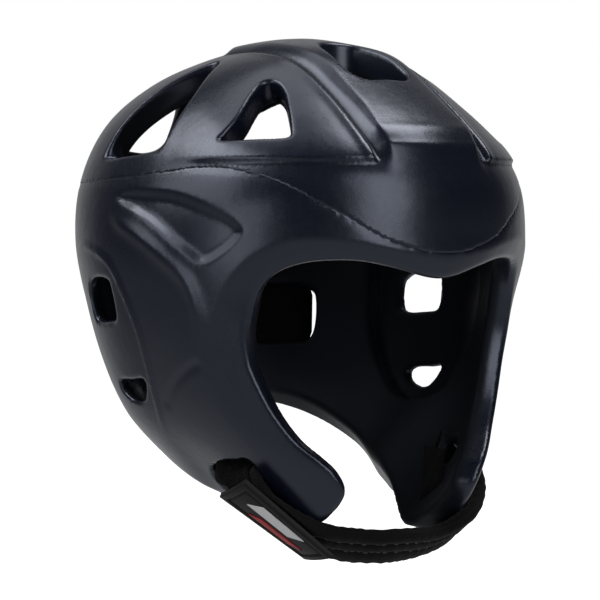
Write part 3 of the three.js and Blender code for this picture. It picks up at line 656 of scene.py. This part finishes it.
def dippedSkin():
    f = Finish("dipped_skin")
    cloud = f.noise(14.0, 4.0)
    grain = f.noise(1500.0, 2.0)
    wave = f.noise(70.0, 2.0)
    scuff = f.noise(260.0, 5.0, 0.65)
    inside_and_painted_shade = f.add("ShaderNodeAttribute", {"attribute_name": "inside_and_painted_shade"}, {}, 2)
    x, y, z = (f.add("ShaderNodeSeparateXYZ", {}, {0: f.place()}, k) for k in range(3))
    line = f.sum("SUBTRACT", 1.0, f.sum("ABSOLUTE", x) * skinLook["seamThin"], clamped=True)
    onBrow = f.sum("LESS_THAN", z, skinLook["seamTop"])
    ahead = f.sum("LESS_THAN", y, skinLook["seamBack"])
    tint = f.blend(cloud, skinLook["dark"], skinLook["light"])
    tint = f.blend(line * onBrow * ahead, tint, skinLook["seam"])
    rough = skinLook["roughness"] + 0.10 * (cloud - 0.5) + 0.10 * (scuff - 0.5)
    normal = f.bump(wave, 0.05, 0.004)
    normal = f.bump(grain, 0.10, 0.0003, normal)
    # darker inside colour, also painted shade where the mask marks edge walls, undersides and the groove's
    # crease
    inside = f.blend(scuff, skinLook["inside_and_painted_shade"], skinLook["insideShadeLight"])
    skin = {"Base Color": tint, "Roughness": rough, "Normal": normal, "IOR": 1.5, "Specular IOR Level": 0.9,
            "Specular Tint": skinLook["shine"]}
    back = {"Base Color": inside, "Roughness": skinLook["insideShadeRoughness"] + rough, "Normal": normal,
            "Specular IOR Level": 0.3, "Specular Tint": skinLook["shine"]}
    return f.surface(skin, inside_and_painted_shade, back)


fabricLook = {"dark": (0.0014, 0.0014, 0.0016, 1), "light": (0.0080, 0.0080, 0.0085, 1), "threads": 4200.0}


def strapFabric():
    f = Finish("strap_fabric")
    spot = f.add("ShaderNodeUVMap", {"uv_map": "weave"})
    along = f.add("ShaderNodeSeparateXYZ", {}, {0: spot}, 0)
    across = f.add("ShaderNodeSeparateXYZ", {}, {0: spot}, 1)
    first = f.sum("SINE", (along + across) * fabricLook["threads"])
    second = f.sum("SINE", (along - across) * fabricLook["threads"])
    weave = 0.5 + 0.25 * first + 0.25 * second
    lint = f.noise(420.0, 5.0, 0.7)
    tint = f.blend(0.35 * weave + 0.65 * (lint ** 2.0), fabricLook["dark"], fabricLook["light"])
    normal = f.bump(weave, 0.5, 0.0003)
    normal = f.bump(lint, 0.35, 0.0012, normal)
    return f.surface({"Base Color": tint, "Roughness": 0.75 + 0.2 * lint, "Normal": normal,
                      "Sheen Weight": 0.05, "Sheen Roughness": 0.5, "Specular IOR Level": 0.2})


pileLook = {"dark": (0.0012, 0.0010, 0.0010, 1), "light": (0.0085, 0.0070, 0.0066, 1)}


def pileTape():
    f = Finish("pile_tape")
    fuzz = f.noise(900.0, 6.0, 0.75)
    clump = f.noise(160.0, 4.0, 0.6)
    tint = f.blend(fuzz * clump * 1.6, pileLook["dark"], pileLook["light"])
    normal = f.bump(fuzz, 0.9, 0.0012)
    normal = f.bump(clump, 0.6, 0.003, normal)
    return f.surface({"Base Color": tint, "Roughness": 0.95, "Normal": normal, "Sheen Weight": 0.04,
                      "Sheen Roughness": 0.6, "Specular IOR Level": 0.08})


rubberLook = {"dark": (0.0062, 0.0062, 0.0066, 1), "light": (0.0105, 0.0105, 0.0112, 1), "roughness": 0.5}


def mouldedRubber():
    f = Finish("patch_rubber")
    grain = f.noise(1800.0, 3.0)
    dust = f.noise(120.0, 5.0, 0.65)
    tint = f.blend(dust, rubberLook["dark"], rubberLook["light"])
    normal = f.bump(grain, 0.2, 0.0002)
    return f.surface({"Base Color": tint, "Roughness": rubberLook["roughness"] + 0.16 * (dust - 0.5),
                      "Normal": normal, "Specular IOR Level": 0.25})


def plainPaint(name, tint, roughness):
    f = Finish(name)
    speck = f.noise(700.0, 4.0)
    shade = f.blend(speck, (tint[0] * 0.85, tint[1] * 0.85, tint[2] * 0.85, 1), (*tint, 1))
    return f.surface({"Base Color": shade, "Roughness": roughness + 0.12 * (speck - 0.5)})


skinFinish, fabricFinish, pileFinish, rubberFinish = dippedSkin(), strapFabric(), pileTape(), mouldedRubber()
threadFinish = plainPaint("stitch_thread", (0.11, 0.11, 0.115), 0.7)
paleFinish = plainPaint("pale_print", (0.92, 0.92, 0.94), 0.5)
redFinish = plainPaint("red_print", (0.50, 0.016, 0.022), 0.5)


insideShadeShape = {  # where the skin turns to the darker inside colour and painted shade: facing in, deep in the wall (painted shade on edge walls), and the lower edge's underside (painted shade)
    "facing": (0.3, 0.75), "deep": (0.6, 0.78), "down": (0.3, 0.8), "outward": (0.5, 0.15), "low": (-25, -40),
}


def foamPiece(name, voxel, low, high, fieldOf, shade=None):
    verts, quads = surfaceNet(low, high, voxel, fieldOf)
    verts, normal = settle(verts, quads, fieldOf, shellShape["settleRounds"])
    piece = meshPiece(name, toFrame(verts), quads, skinFinish)
    facing = np.einsum("ij,ij->i", unit(verts), normal)
    az, lat, r = chartOf(verts)
    read = mapReader(az, lat)
    deep = (read(radiusMap) - r) / wallOf(lat)
    out = np.einsum("ij,ij->i", unit(verts[:, :2]), normal[:, :2])
    t = insideShadeShape
    # painted shade: the downward, outward-facing underside of the lower edge is darkened
    undersideShade = smooth(*t["down"], -normal[:, 2]) * smooth(*t["outward"], out) * smooth(*t["low"], lat)
    # mask of the darker inside colour, with painted shade on deep wall faces, the underside and the groove
    inside_and_painted_shade = np.maximum.reduce([smooth(*t["facing"], -facing), smooth(*t["deep"], deep), undersideShade])
    # add the groove's painted shade line
    if shade is not None:
        inside_and_painted_shade = np.maximum(inside_and_painted_shade, read(shade))
    layer = piece.data.attributes.new("inside_and_painted_shade", "FLOAT", "POINT")
    layer.data.foreach_set("value", inside_and_painted_shade.astype(np.float32))
    print(name, "quads:", len(quads))
    return piece


crown = foamPiece("crown_foam", shellShape["crownVoxel"], *shellShape["crownBox"], crownField, grooveShade)
guard = foamPiece("lower_foam", shellShape["guardVoxel"], *shellShape["guardBox"], guardField)

# Chin strap: centre line, outward side, width, thickness, puff of its three rolls
strapRows = [
    (-47, -26, -85, -0.75, -0.4, 0.53, 26, 2.6, 0), (-53.5, -29, -97, -0.75, -0.4, 0.53, 26, 2.6, 0),
    (-59.4, -37.6, -107, -0.85, -0.4, 0.2, 28, 3, 0), (-61, -43.4, -114, -0.9, -0.2, -0.38, 30, 4, 0.4),
    (-54.5, -51.5, -125, -0.74, -0.16, -0.65, 31, 6, 1), (-37.5, -64, -136.5, -0.5, -0.26, -0.83, 31, 7, 1),
    (-18, -71, -141.2, -0.2, -0.5, -0.83, 27, 7, 1), (0, -77, -142, 0, -0.6, -0.8, 25, 7, 1),
    (24.3, -72, -141.8, 0.2, -0.56, -0.8, 23, 7, 1), (47, -65, -136.2, 0.48, -0.48, -0.74, 28.5, 7, 1),
    (60.5, -56, -125.2, 0.78, -0.33, -0.53, 28, 5.5, 1), (62.5, -47, -114, 0.9, -0.25, -0.36, 29, 4, 0.4),
    (61.4, -30.5, -107, 0.85, -0.4, 0.2, 40, 3, 0), (54.4, -24.5, -97, 0.75, -0.4, 0.53, 40, 2.6, 0),
    (47, -21.5, -85, 0.75, -0.4, 0.53, 40, 2.6, 0),
]
strapShape = {
    "span": (0.11, 0.89), "steps": 190, "cuts": 64, "pucker": 0.6, "puckerEvery": 6.5, "valley": 0.38,
    "gap": 0.4, "flattened": 2.2, "held": (0.13, 0.19, 0.33, 0.43, 0.5), "seams": (-0.5, 0.12),
    "drift": (1.7, 0.21, 3), "underShift": 2.2, "roundFrom": 0.93, "thinEdge": 0.25, "least": 0.5,
}
tailShape = {
    "span": (0.10, 12 / 34), "sides": (-0.7, 0.88), "thickness": 1.6, "fuzz": 0.35, "steps": 90, "cuts": 30,
    "bead": (1.2, 0.05), "nap": ((2.9, 5, 0), (1.7, -23, 1.3)),  # waves along, across, and their shift
}
patchShape = {
    "corners": ((-70.9, -34.8, -119), (-72.6, -58.7, -110.3), (-37.6, -57.6, -148.6), (-39.6, -82.6, -145.4)),
    "thickness": 2.6, "border": 3.4, "groove": 0.8, "panel": 0.4, "crown": 1.0, "ease": 1.3, "steps": 130,
    "cuts": 64, "bead": (0.9, 0.02), "grooveAt": (0.6, 0.55), "panelEdge": (0.2, 1.2),
}


def openCurve(values, share):
    p = np.vstack([2 * values[0] - values[1], values, 2 * values[-1] - values[-2]])
    at = np.clip(np.asarray(share, float), 0, 1) * (len(values) - 1)
    i = np.minimum(at.astype(int), len(values) - 2)
    t = (at - i)[:, None]
    a, b, c, d = p[i], p[i + 1], p[i + 2], p[i + 3]
    return hermite(t, b, c, (c - a) / 2, (d - b) / 2)


strapTable = np.array(strapRows, float)


def strapFrames(share):
    share = np.asarray(share, float)
    got = openCurve(strapTable, share)
    ahead = openCurve(strapTable[:, :3], np.minimum(share + 1e-3, 1))
    behind = openCurve(strapTable[:, :3], np.maximum(share - 1e-3, 0))
    along = unit(ahead - behind)
    across = unit(np.cross(got[:, 3:6], along))
    out = unit(np.cross(along, across))
    return {"at": got[:, :3], "across": across, "out": out, "width": got[:, 6], "thick": got[:, 7],
            "puff": np.clip(got[:, 8], 0, 1)}


def strapPoints(frames, side, level):  # side and level are arrays of one row for each frame
    aside = (side * frames["width"][:, None] / 2)[..., None] * frames["across"][:, None]
    return frames["at"][:, None] - aside + level[..., None] * frames["out"][:, None]


def heldSide(share, side):  # the strap narrows at its rear where the patch holds it
    begin, full, ease, end, most = strapShape["held"]
    held = most * smooth(begin, full, share) * (1 - smooth(ease, end, share))
    return np.where(side > 0, side * (1 - held)[:, None], side)


def sheetGrid(shape):
    return np.meshgrid(np.linspace(0, 1, shape["steps"]), np.linspace(0, 1, shape["cuts"]), indexing="ij")


def betweenCorners(corners, u, v):
    a, b, c, d = np.array(corners, float)
    u, v = u[..., None], v[..., None]
    return (1 - u) * ((1 - v) * a + v * b) + u * ((1 - v) * c + v * d)


def beadOf(edge, width, least):  # share of the full height at this distance from the edge
    return np.sqrt(np.clip(1 - (1 - np.clip(edge / width, 0, 1)) ** 2, least, 1))


patchCorners = np.array(patchShape["corners"])
patchMiddle = patchCorners.mean(0)
patchAlong = (patchCorners[2] + patchCorners[3] - patchCorners[0] - patchCorners[1]) / 2
patchAcross = (patchCorners[1] + patchCorners[3] - patchCorners[0] - patchCorners[2]) / 2
patchOut = unit(np.cross(patchAcross, patchAlong))
patchOut = patchOut * (-1 if patchOut[2] > 0 else 1)
patchSize = np.array([np.linalg.norm(patchAlong), np.linalg.norm(patchAcross)])


def onPatch(u, v, level):  # shares along and across the patch, height from its face
    rise = level - patchShape["crown"] * (2 * v - 1) ** 2
    return betweenCorners(patchCorners, u, v) + rise[..., None] * patchOut


def pressed(points, depth):  # soft layers stay this far below the patch's face
    flat = points.reshape(-1, 3)
    share = np.linalg.solve(np.stack([patchAlong, patchAcross, patchOut], 1), (flat - patchMiddle).T).T
    beyond = np.linalg.norm(np.maximum(np.abs(share[:, :2]) - 0.5, 0) * patchSize, axis=1)
    moved = flat + np.minimum(patchShape["ease"] * beyond - depth - share[:, 2], 0)[:, None] * patchOut
    return moved.reshape(points.shape)


def tubeFaces(rings, around):
    i, j = np.meshgrid(np.arange(rings - 1), np.arange(around), indexing="ij")
    k = (j + 1) % around
    here, beyond = i * around, (i + 1) * around
    quads = np.stack([here + j, here + k, beyond + k, beyond + j], -1).reshape(-1, 4)
    first, last = list(range(around))[::-1], list(range((rings - 1) * around, rings * around))
    return [list(q) for q in quads] + [first, last]


def outward(points, faces):  # turn the faces round if the closed shape is inside out
    tri = np.array([f[:3] for f in faces if len(f) == 4] + [[f[0], f[2], f[3]] for f in faces if len(f) == 4])
    a, b, c = points[tri[:, 0]], points[tri[:, 1]], points[tri[:, 2]]
    volume = np.einsum("ij,ij->i", a, np.cross(b, c)).sum()
    return faces if volume > 0 else [f[::-1] for f in faces]


def layeredPiece(name, top, under, finish, uv=None):  # closed piece from its face and its underside
    points = np.concatenate([top, under], 1).reshape(-1, 3)
    faces = outward(points, tubeFaces(len(top), 2 * top.shape[1]))
    return meshPiece(name, toFrame(points), faces, finish, uv)


def runLength(points):
    return np.concatenate([[0], np.cumsum(np.linalg.norm(np.diff(points, axis=0), axis=1))])


def rollLevel(frames, side, along):
    first, second = strapShape["seams"]
    roll = np.abs(np.cos(1.5 * math.pi * np.interp(side, (-1, first, second, 1), (-1, -1 / 3, 1 / 3, 1))))
    valley = 1 - np.sqrt(np.clip(roll, 0, 1))
    puff = frames["puff"][:, None]
    half = frames["thick"][:, None] / 2
    level = half * (1 - puff * (1 - strapShape["valley"]) * valley)
    every = 2 * math.pi / strapShape["puckerEvery"]
    swing, slow, lean = strapShape["drift"]
    wave = np.sin(along[:, None] * every + swing * np.sin(along[:, None] * slow + lean * side))
    level = level + strapShape["pucker"] * puff * wave * (0.3 + valley) * 0.5
    flat, thin = strapShape["roundFrom"], strapShape["thinEdge"]
    edge = np.sqrt(np.clip(1 - np.clip((np.abs(side) - flat) / (1 - flat), 0, 1) ** 2, 0, 1))
    return np.maximum(level * (thin + (1 - thin) * edge), strapShape["least"])


def weaveUv(along, over):  # metres along and across the band, for the weave
    return np.stack([np.tile(along[:, None], (1, over.shape[1])), over], -1).reshape(-1, 2) / 1000


def chinStrap():
    steps, cuts = strapShape["steps"], strapShape["cuts"]
    share = np.linspace(*strapShape["span"], steps)
    frames = strapFrames(share)
    along = runLength(frames["at"])
    even = np.linspace(-1, 1, cuts)
    side = np.tile(np.sin(even * math.pi / 2), (steps, 1)) * 0.5 + 0.5 * even
    back = side[:, ::-1]
    top = strapPoints(frames, heldSide(share, side), rollLevel(frames, side, along))
    lower = -rollLevel(frames, back, along + strapShape["underShift"])
    under = strapPoints(frames, heldSide(share, back), lower)
    below = patchShape["thickness"] + tailShape["thickness"] + 2 * strapShape["gap"]
    top, under = pressed(top, below), pressed(under, below + strapShape["flattened"])
    half = frames["width"][:, None] / 2
    over = np.concatenate([side * half, 2 * half - side[:, ::-1] * half], 1)
    return layeredPiece("chin_strap_padded", top, under, fabricFinish, weaveUv(along, over))


def strapTail():
    t = tailShape
    share = np.linspace(*t["span"], t["steps"])
    frames = strapFrames(share)
    along = runLength(frames["at"])
    side = np.tile(np.linspace(*t["sides"], t["cuts"]), (t["steps"], 1))
    base = frames["thick"][:, None] / 2 + strapShape["gap"] + 0 * side
    edge = np.minimum(side - t["sides"][0], t["sides"][1] - side) * frames["width"][:, None] / 2
    nap = math.prod(np.sin(along[:, None] * a + b * side + c) for a, b, c in t["nap"])
    high = base + (t["thickness"] + t["fuzz"] * nap) * beadOf(edge, *t["bead"])
    top = strapPoints(frames, heldSide(share, side), high)
    under = strapPoints(frames, heldSide(share, side), base)[:, ::-1]
    below = patchShape["thickness"] + strapShape["gap"]
    top, under = pressed(top, below), pressed(under, below + t["thickness"])
    return layeredPiece("strap_tail_pile", top, under, pileFinish)


def rubberPatch():
    p = patchShape
    u, v = sheetGrid(p)
    edge = np.minimum(np.minimum(u, 1 - u) * patchSize[0], np.minimum(v, 1 - v) * patchSize[1])
    inside = edge - p["border"]
    place, width = p["grooveAt"]
    height = p["thickness"] * (beadOf(edge, *p["bead"]) - 1)
    height = height - p["groove"] * np.exp(-((inside - place) / width) ** 2)
    height = height - p["panel"] * smooth(*p["panelEdge"], inside)
    under = onPatch(u, v, 0 * u - p["thickness"])[:, ::-1]
    return layeredPiece("rubber_patch_moulded", onPatch(u, v, height), under, rubberFinish)


strap = chinStrap()
tail = strapTail()
patch = rubberPatch()

# Strap ends on the inside of the jaw: corners as places on the shell
tabShape = {
    "corners": ((55, -58.8), (43, -54.8), (36, -63.8), (31, -57.2)), "size": (17, 18), "thickness": 2.0,
    "sunk": 0.8, "steps": 26, "cuts": 20, "bead": (1.4, 0.05),
}


def strapTab(name, turn):
    t = tabShape
    u, v = sheetGrid(t)
    place = betweenCorners(t["corners"], u, v)
    long, wide = t["size"]
    edge = np.minimum(np.minimum(u, 1 - u) * long, np.minimum(v, 1 - v) * wide)
    bead = t["thickness"] * beadOf(edge, *t["bead"])
    az, lat = place[..., 0] * turn, place[..., 1]
    top = onShell(az, lat, -wallOf(lat) - bead)
    under = onShell(az, lat, t["sunk"] - wallOf(lat))[:, ::-1]
    return layeredPiece(name, top, under, pileFinish)


tabs = [strapTab("strap_tab_right", 1), strapTab("strap_tab_left", -1)]
print("strap pieces made")

# Two plain bars in the patch's panel: start and end along it, share of its width, finish
barRows = [(0.24, 0.70, 0.52, 0.80, "pale"), (0.34, 0.80, 0.22, 0.40, "red")]
barShape = {"slant": 0.10, "height": 0.35, "sunk": 0.3, "steps": 24, "cuts": 8}


def patchBars():
    made = []
    for start, stop, low, high, tint in barRows:
        u, v = sheetGrid(barShape)
        along = start + (stop - start) * u + barShape["slant"] * (v - 0.5)
        across = low + (high - low) * v
        top = onPatch(along, across, 0 * u - patchShape["panel"] + barShape["height"])
        under = onPatch(along, across, 0 * u - patchShape["panel"] - barShape["sunk"])[:, ::-1]
        finish = paleFinish if tint == "pale" else redFinish
        made.append(layeredPiece(f"patch_bar_{len(made) + 1}", top, under, finish))
    return made


bars = patchBars()

# Rear strap across the nape, over the windows
napeShape = {
    "lat": -20.5, "end": 142, "height": 36.0, "lift": 0.6, "thickness": 2.2, "steps": 120, "cuts": 26,
    "ends": (0.55, 9), "bead": (0.9, 0.1), "seam": (0.35, 2.4, 0.5), "seamCut": 3, "seamTrim": 4,
    "uvTurn": 40,
}


def napeStrap():
    s = napeShape
    az = np.linspace(s["end"], 360 - s["end"], s["steps"])
    line = onShell(np.where(az > 180, az - 360, az), np.full(len(az), float(s["lat"])))
    along = runLength(line)
    fromEnd = np.minimum(along, along[-1] - along)
    least, reach = s["ends"]
    half = s["height"] / 2 * (least + (1 - least) * beadOf(fromEnd, reach, 0))
    tangent = unit(np.gradient(line, axis=0))
    up = unit(np.cross(unit(line), tangent))
    up = up * np.where(up[:, 2:] > 0, 1, -1)
    side = np.linspace(-1, 1, s["cuts"])
    spots = line[:, None] + (side[None, :] * half[:, None])[..., None] * up[:, None]
    az2 = np.degrees(np.arctan2(-spots[..., 0], -spots[..., 1]))
    lat2 = np.degrees(np.arcsin(spots[..., 2] / np.linalg.norm(spots, axis=-1)))
    edge = np.minimum((1 - np.abs(side))[None, :] * half[:, None], fromEnd[:, None])
    sink, place, width = s["seam"]
    bead = s["thickness"] * beadOf(edge, *s["bead"]) - sink * np.exp(-((edge - place) / width) ** 2)
    top = onShell(az2, lat2, s["lift"] + bead)
    under = onShell(az2, lat2, s["lift"] + 0 * bead)[:, ::-1]
    over = side[None, :] * half[:, None]
    over = np.concatenate([over, s["uvTurn"] - over[:, ::-1]], 1)
    band = layeredPiece("rear_strap_band", top, under, fabricFinish, weaveUv(along, over))
    cut, trim = s["seamCut"], s["seamTrim"]
    return band, [top[trim:-trim, k] for k in (cut, -1 - cut)]


nape, napeSeams = napeStrap()

# Stitches laid along lines by Geometry Nodes
stitchShape = {
    "span": (0.24, 0.80), "points": 260, "lift": 0.8,
    "Spacing": 0.0032, "Length": 0.0021, "Thickness": 0.00072,
}


def stitchTree():
    tree = bpy.data.node_groups.new("stitch_run", "GeometryNodeTree")
    tree.interface.new_socket("Line", in_out="INPUT", socket_type="NodeSocketGeometry")
    for name in ("Spacing", "Length", "Thickness"):
        tree.interface.new_socket(name, in_out="INPUT", socket_type="NodeSocketFloat")
    tree.interface.new_socket("Thread", in_out="INPUT", socket_type="NodeSocketMaterial")
    tree.interface.new_socket("Stitches", in_out="OUTPUT", socket_type="NodeSocketGeometry")
    make = tree.nodes.new
    given, made = make("NodeGroupInput"), make("NodeGroupOutput")
    curve, spread = make("GeometryNodeMeshToCurve"), make("GeometryNodeResampleCurve")
    spread.mode = "LENGTH"
    bead, lay = make("GeometryNodeMeshUVSphere"), make("GeometryNodeInstanceOnPoints")
    bead.inputs["Segments"].default_value, bead.inputs["Rings"].default_value = 8, 5
    bead.inputs["Radius"].default_value = 0.5
    turn, heading = make("FunctionNodeAlignRotationToVector"), make("GeometryNodeInputTangent")
    turn.axis = "X"
    size = make("ShaderNodeCombineXYZ")
    real, coat = make("GeometryNodeRealizeInstances"), make("GeometryNodeSetMaterial")
    for source, output, target, socket in (
        (given, "Line", curve, "Mesh"), (curve, "Curve", spread, "Curve"),
        (given, "Spacing", spread, "Length"), (spread, "Curve", lay, "Points"),
        (bead, "Mesh", lay, "Instance"), (heading, "Tangent", turn, "Vector"),
        (turn, "Rotation", lay, "Rotation"), (given, "Length", size, "X"),
        (given, "Thickness", size, "Y"), (given, "Thickness", size, "Z"),
        (size, "Vector", lay, "Scale"), (lay, "Instances", real, "Geometry"),
        (real, "Geometry", coat, "Geometry"), (given, "Thread", coat, "Material"),
        (coat, "Geometry", made, "Stitches"),
    ):
        tree.links.new(source.outputs[output], target.inputs[socket])
    return tree


def stitches(name, runs, tree):
    points, edges = [], []
    for run in runs:
        first = len(points)
        points += toFrame(run).tolist()
        edges += [(first + i, first + i + 1) for i in range(len(run) - 1)]
    mesh = bpy.data.meshes.new(name + "_line")
    mesh.from_pydata(points, edges, [])
    guide = placed(name + "_line", mesh)
    layer = guide.modifiers.new("stitches", "NODES")
    layer.node_group = tree
    for item in tree.interface.items_tree:
        if item.in_out == "INPUT" and item.name in stitchShape:
            layer[item.identifier] = stitchShape[item.name]
        if item.in_out == "INPUT" and item.name == "Thread":
            layer[item.identifier] = threadFinish
    ready = guide.evaluated_get(bpy.context.evaluated_depsgraph_get())
    done = bpy.data.meshes.new_from_object(ready)
    bpy.data.objects.remove(guide)
    done.name = name
    done.polygons.foreach_set("use_smooth", np.ones(len(done.polygons), bool))
    return placed(name, done)


def strapStitchRuns():
    share = np.linspace(*stitchShape["span"], stitchShape["points"])
    frames = strapFrames(share)
    before = strapFrames(np.linspace(strapShape["span"][0], stitchShape["span"][0], 60))
    along = runLength(before["at"])[-1] + runLength(frames["at"])
    runs = []
    for side in strapShape["seams"]:
        sides = np.full((len(share), 1), side)
        level = rollLevel(frames, sides, along) + stitchShape["lift"]
        run = strapPoints(frames, heldSide(share, sides), level)[:, 0]
        runs.append(pressed(run, patchShape["thickness"] + tailShape["thickness"]))
    return runs


runTree = stitchTree()
strapStitch = stitches("chin_strap_stitches", strapStitchRuns(), runTree)
napeStitch = stitches("rear_strap_stitches", napeSeams, runTree)
print("stitches laid")

# Pieces on their body
for piece, node, slotName in (
    (crown, "crown_shell", "dipped_skin"), (guard, "lower_guard", "dipped_skin"),
    (strap, "chin_strap", "strap_fabric"), (tail, "strap_tail", "pile_tape"),
    (patch, "rubber_patch", "patch_rubber"), (nape, "rear_strap", "strap_fabric"),
):
    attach(piece, "root")
    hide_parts(node)
for piece in (*bars, *tabs, strapStitch, napeStitch):
    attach(piece, "root")

# Stage, light and camera
studio = {
    "target": Vector((0.0, 0.0, -0.111)),
    "forward": Vector((0.5661, 0.8236, -0.0349)),
    "distance": 1.3,
    "lens": 159.1,
    "floor": -0.33,
    "floorHalf": 6.0,
    "backdrop": (1.0, 1.0, 1.0, 1),
    "ambient": (0.03, 0.33, 0.42),  # all round, from below, from behind
    "belowGlow": (-1.5, 0.05),  # gain and start
    "behindGlow": (3.0, -1.8),
}
lampRows = [  # name, right, towards the camera, up, width, height, watts
    ("panelBox", 0.36, -0.09, 1.05, 0.5, 0.55, 4.8),
    ("topBox", -0.28, -0.25, 1.10, 0.8, 0.5, 1.4),
    ("leftTopBox", -0.92, 0.08, 1.02, 1.0, 0.52, 6.6),
    ("leftHighBox", -1.11, 0.36, 0.55, 0.9, 0.45, 1.7),
    ("leftBox", -0.95, 0.95, 0.05, 0.6, 0.7, 1.7),
    ("rightBox", 0.66, 1.18, 0.46, 0.7, 1.4, 6.6),
]
toCamera = -studio["forward"].normalized()
toRight = Vector((0, 0, 1)).cross(toCamera).normalized()


def addLamps():
    for name, right, near, up, width, height, watts in lampRows:
        lamp = bpy.data.lights.new(name, "AREA")
        lamp.shape, lamp.size, lamp.size_y, lamp.energy = "RECTANGLE", width, height, watts
        holder = placed(name, lamp)
        offset = toRight * right + Vector((toCamera.x, toCamera.y, 0)) * near + Vector((0, 0, up))
        holder.location = studio["target"] + offset
        holder.rotation_mode = "QUATERNION"
        holder.rotation_quaternion = (-offset).to_track_quat("-Z", "Y")


def addStage():
    f = Finish("pale_floor")
    mottle = f.noise(3.0, 2.0)
    tint = f.blend(mottle, (0.86, 0.86, 0.86, 1), (0.9, 0.9, 0.9, 1))
    finish = f.surface({"Base Color": tint, "Roughness": 0.9, "Emission Color": (1, 1, 1, 1),
                        "Emission Strength": 1.0})
    half, low = studio["floorHalf"], studio["floor"]
    mesh = bpy.data.meshes.new("floor")
    corners = ((-half, -half, low), (half, -half, low), (half, half, low), (-half, half, low))
    mesh.from_pydata(corners, [], [(0, 1, 2, 3)])
    mesh.materials.append(finish)
    floor = placed("floor", mesh)
    floor.visible_glossy = floor.visible_diffuse = floor.visible_shadow = False


def addWorld():  # a glow from below and behind, and a plain backdrop for the camera
    f = Finish("studio", bpy.data.worlds)
    bpy.context.scene.world = f.block
    level, below, behind = studio["ambient"]
    heading = f.add("ShaderNodeTexCoord")
    height = f.add("ShaderNodeSeparateXYZ", {}, {0: heading}, 2)
    down = f.sum("MULTIPLY_ADD", height, *studio["belowGlow"], clamped=True)
    ahead = f.add("ShaderNodeVectorMath", {"operation": "DOT_PRODUCT"}, {0: heading, 1: studio["forward"]}, 1)
    away = f.sum("MULTIPLY_ADD", ahead, *studio["behindGlow"], clamped=True)
    glow = level + below * down + behind * away
    lit = f.add("ShaderNodeBackground", {}, {"Color": (1, 1, 1, 1), "Strength": glow})
    seen = f.add("ShaderNodeBackground", {}, {"Color": studio["backdrop"]})
    toEye = f.add("ShaderNodeLightPath")
    both = f.add("ShaderNodeMixShader", {}, {0: toEye, 1: lit, 2: seen})
    f.add("ShaderNodeOutputWorld", {}, {"Surface": both})


def addCamera():
    data = bpy.data.cameras.new("studioCamera")
    data.lens, data.sensor_width = studio["lens"], 36
    data.clip_start, data.clip_end = 0.05, 40
    camera = placed("studioCamera", data)
    camera.location = studio["target"] + toCamera * studio["distance"]
    camera.rotation_mode = "QUATERNION"
    camera.rotation_quaternion = (-toCamera).to_track_quat("-Z", "Y")
    bpy.context.scene.camera = camera


addLamps()
addStage()
addWorld()
addCamera()
bpy.context.scene.view_settings.view_transform = "Standard"
print("stage set")
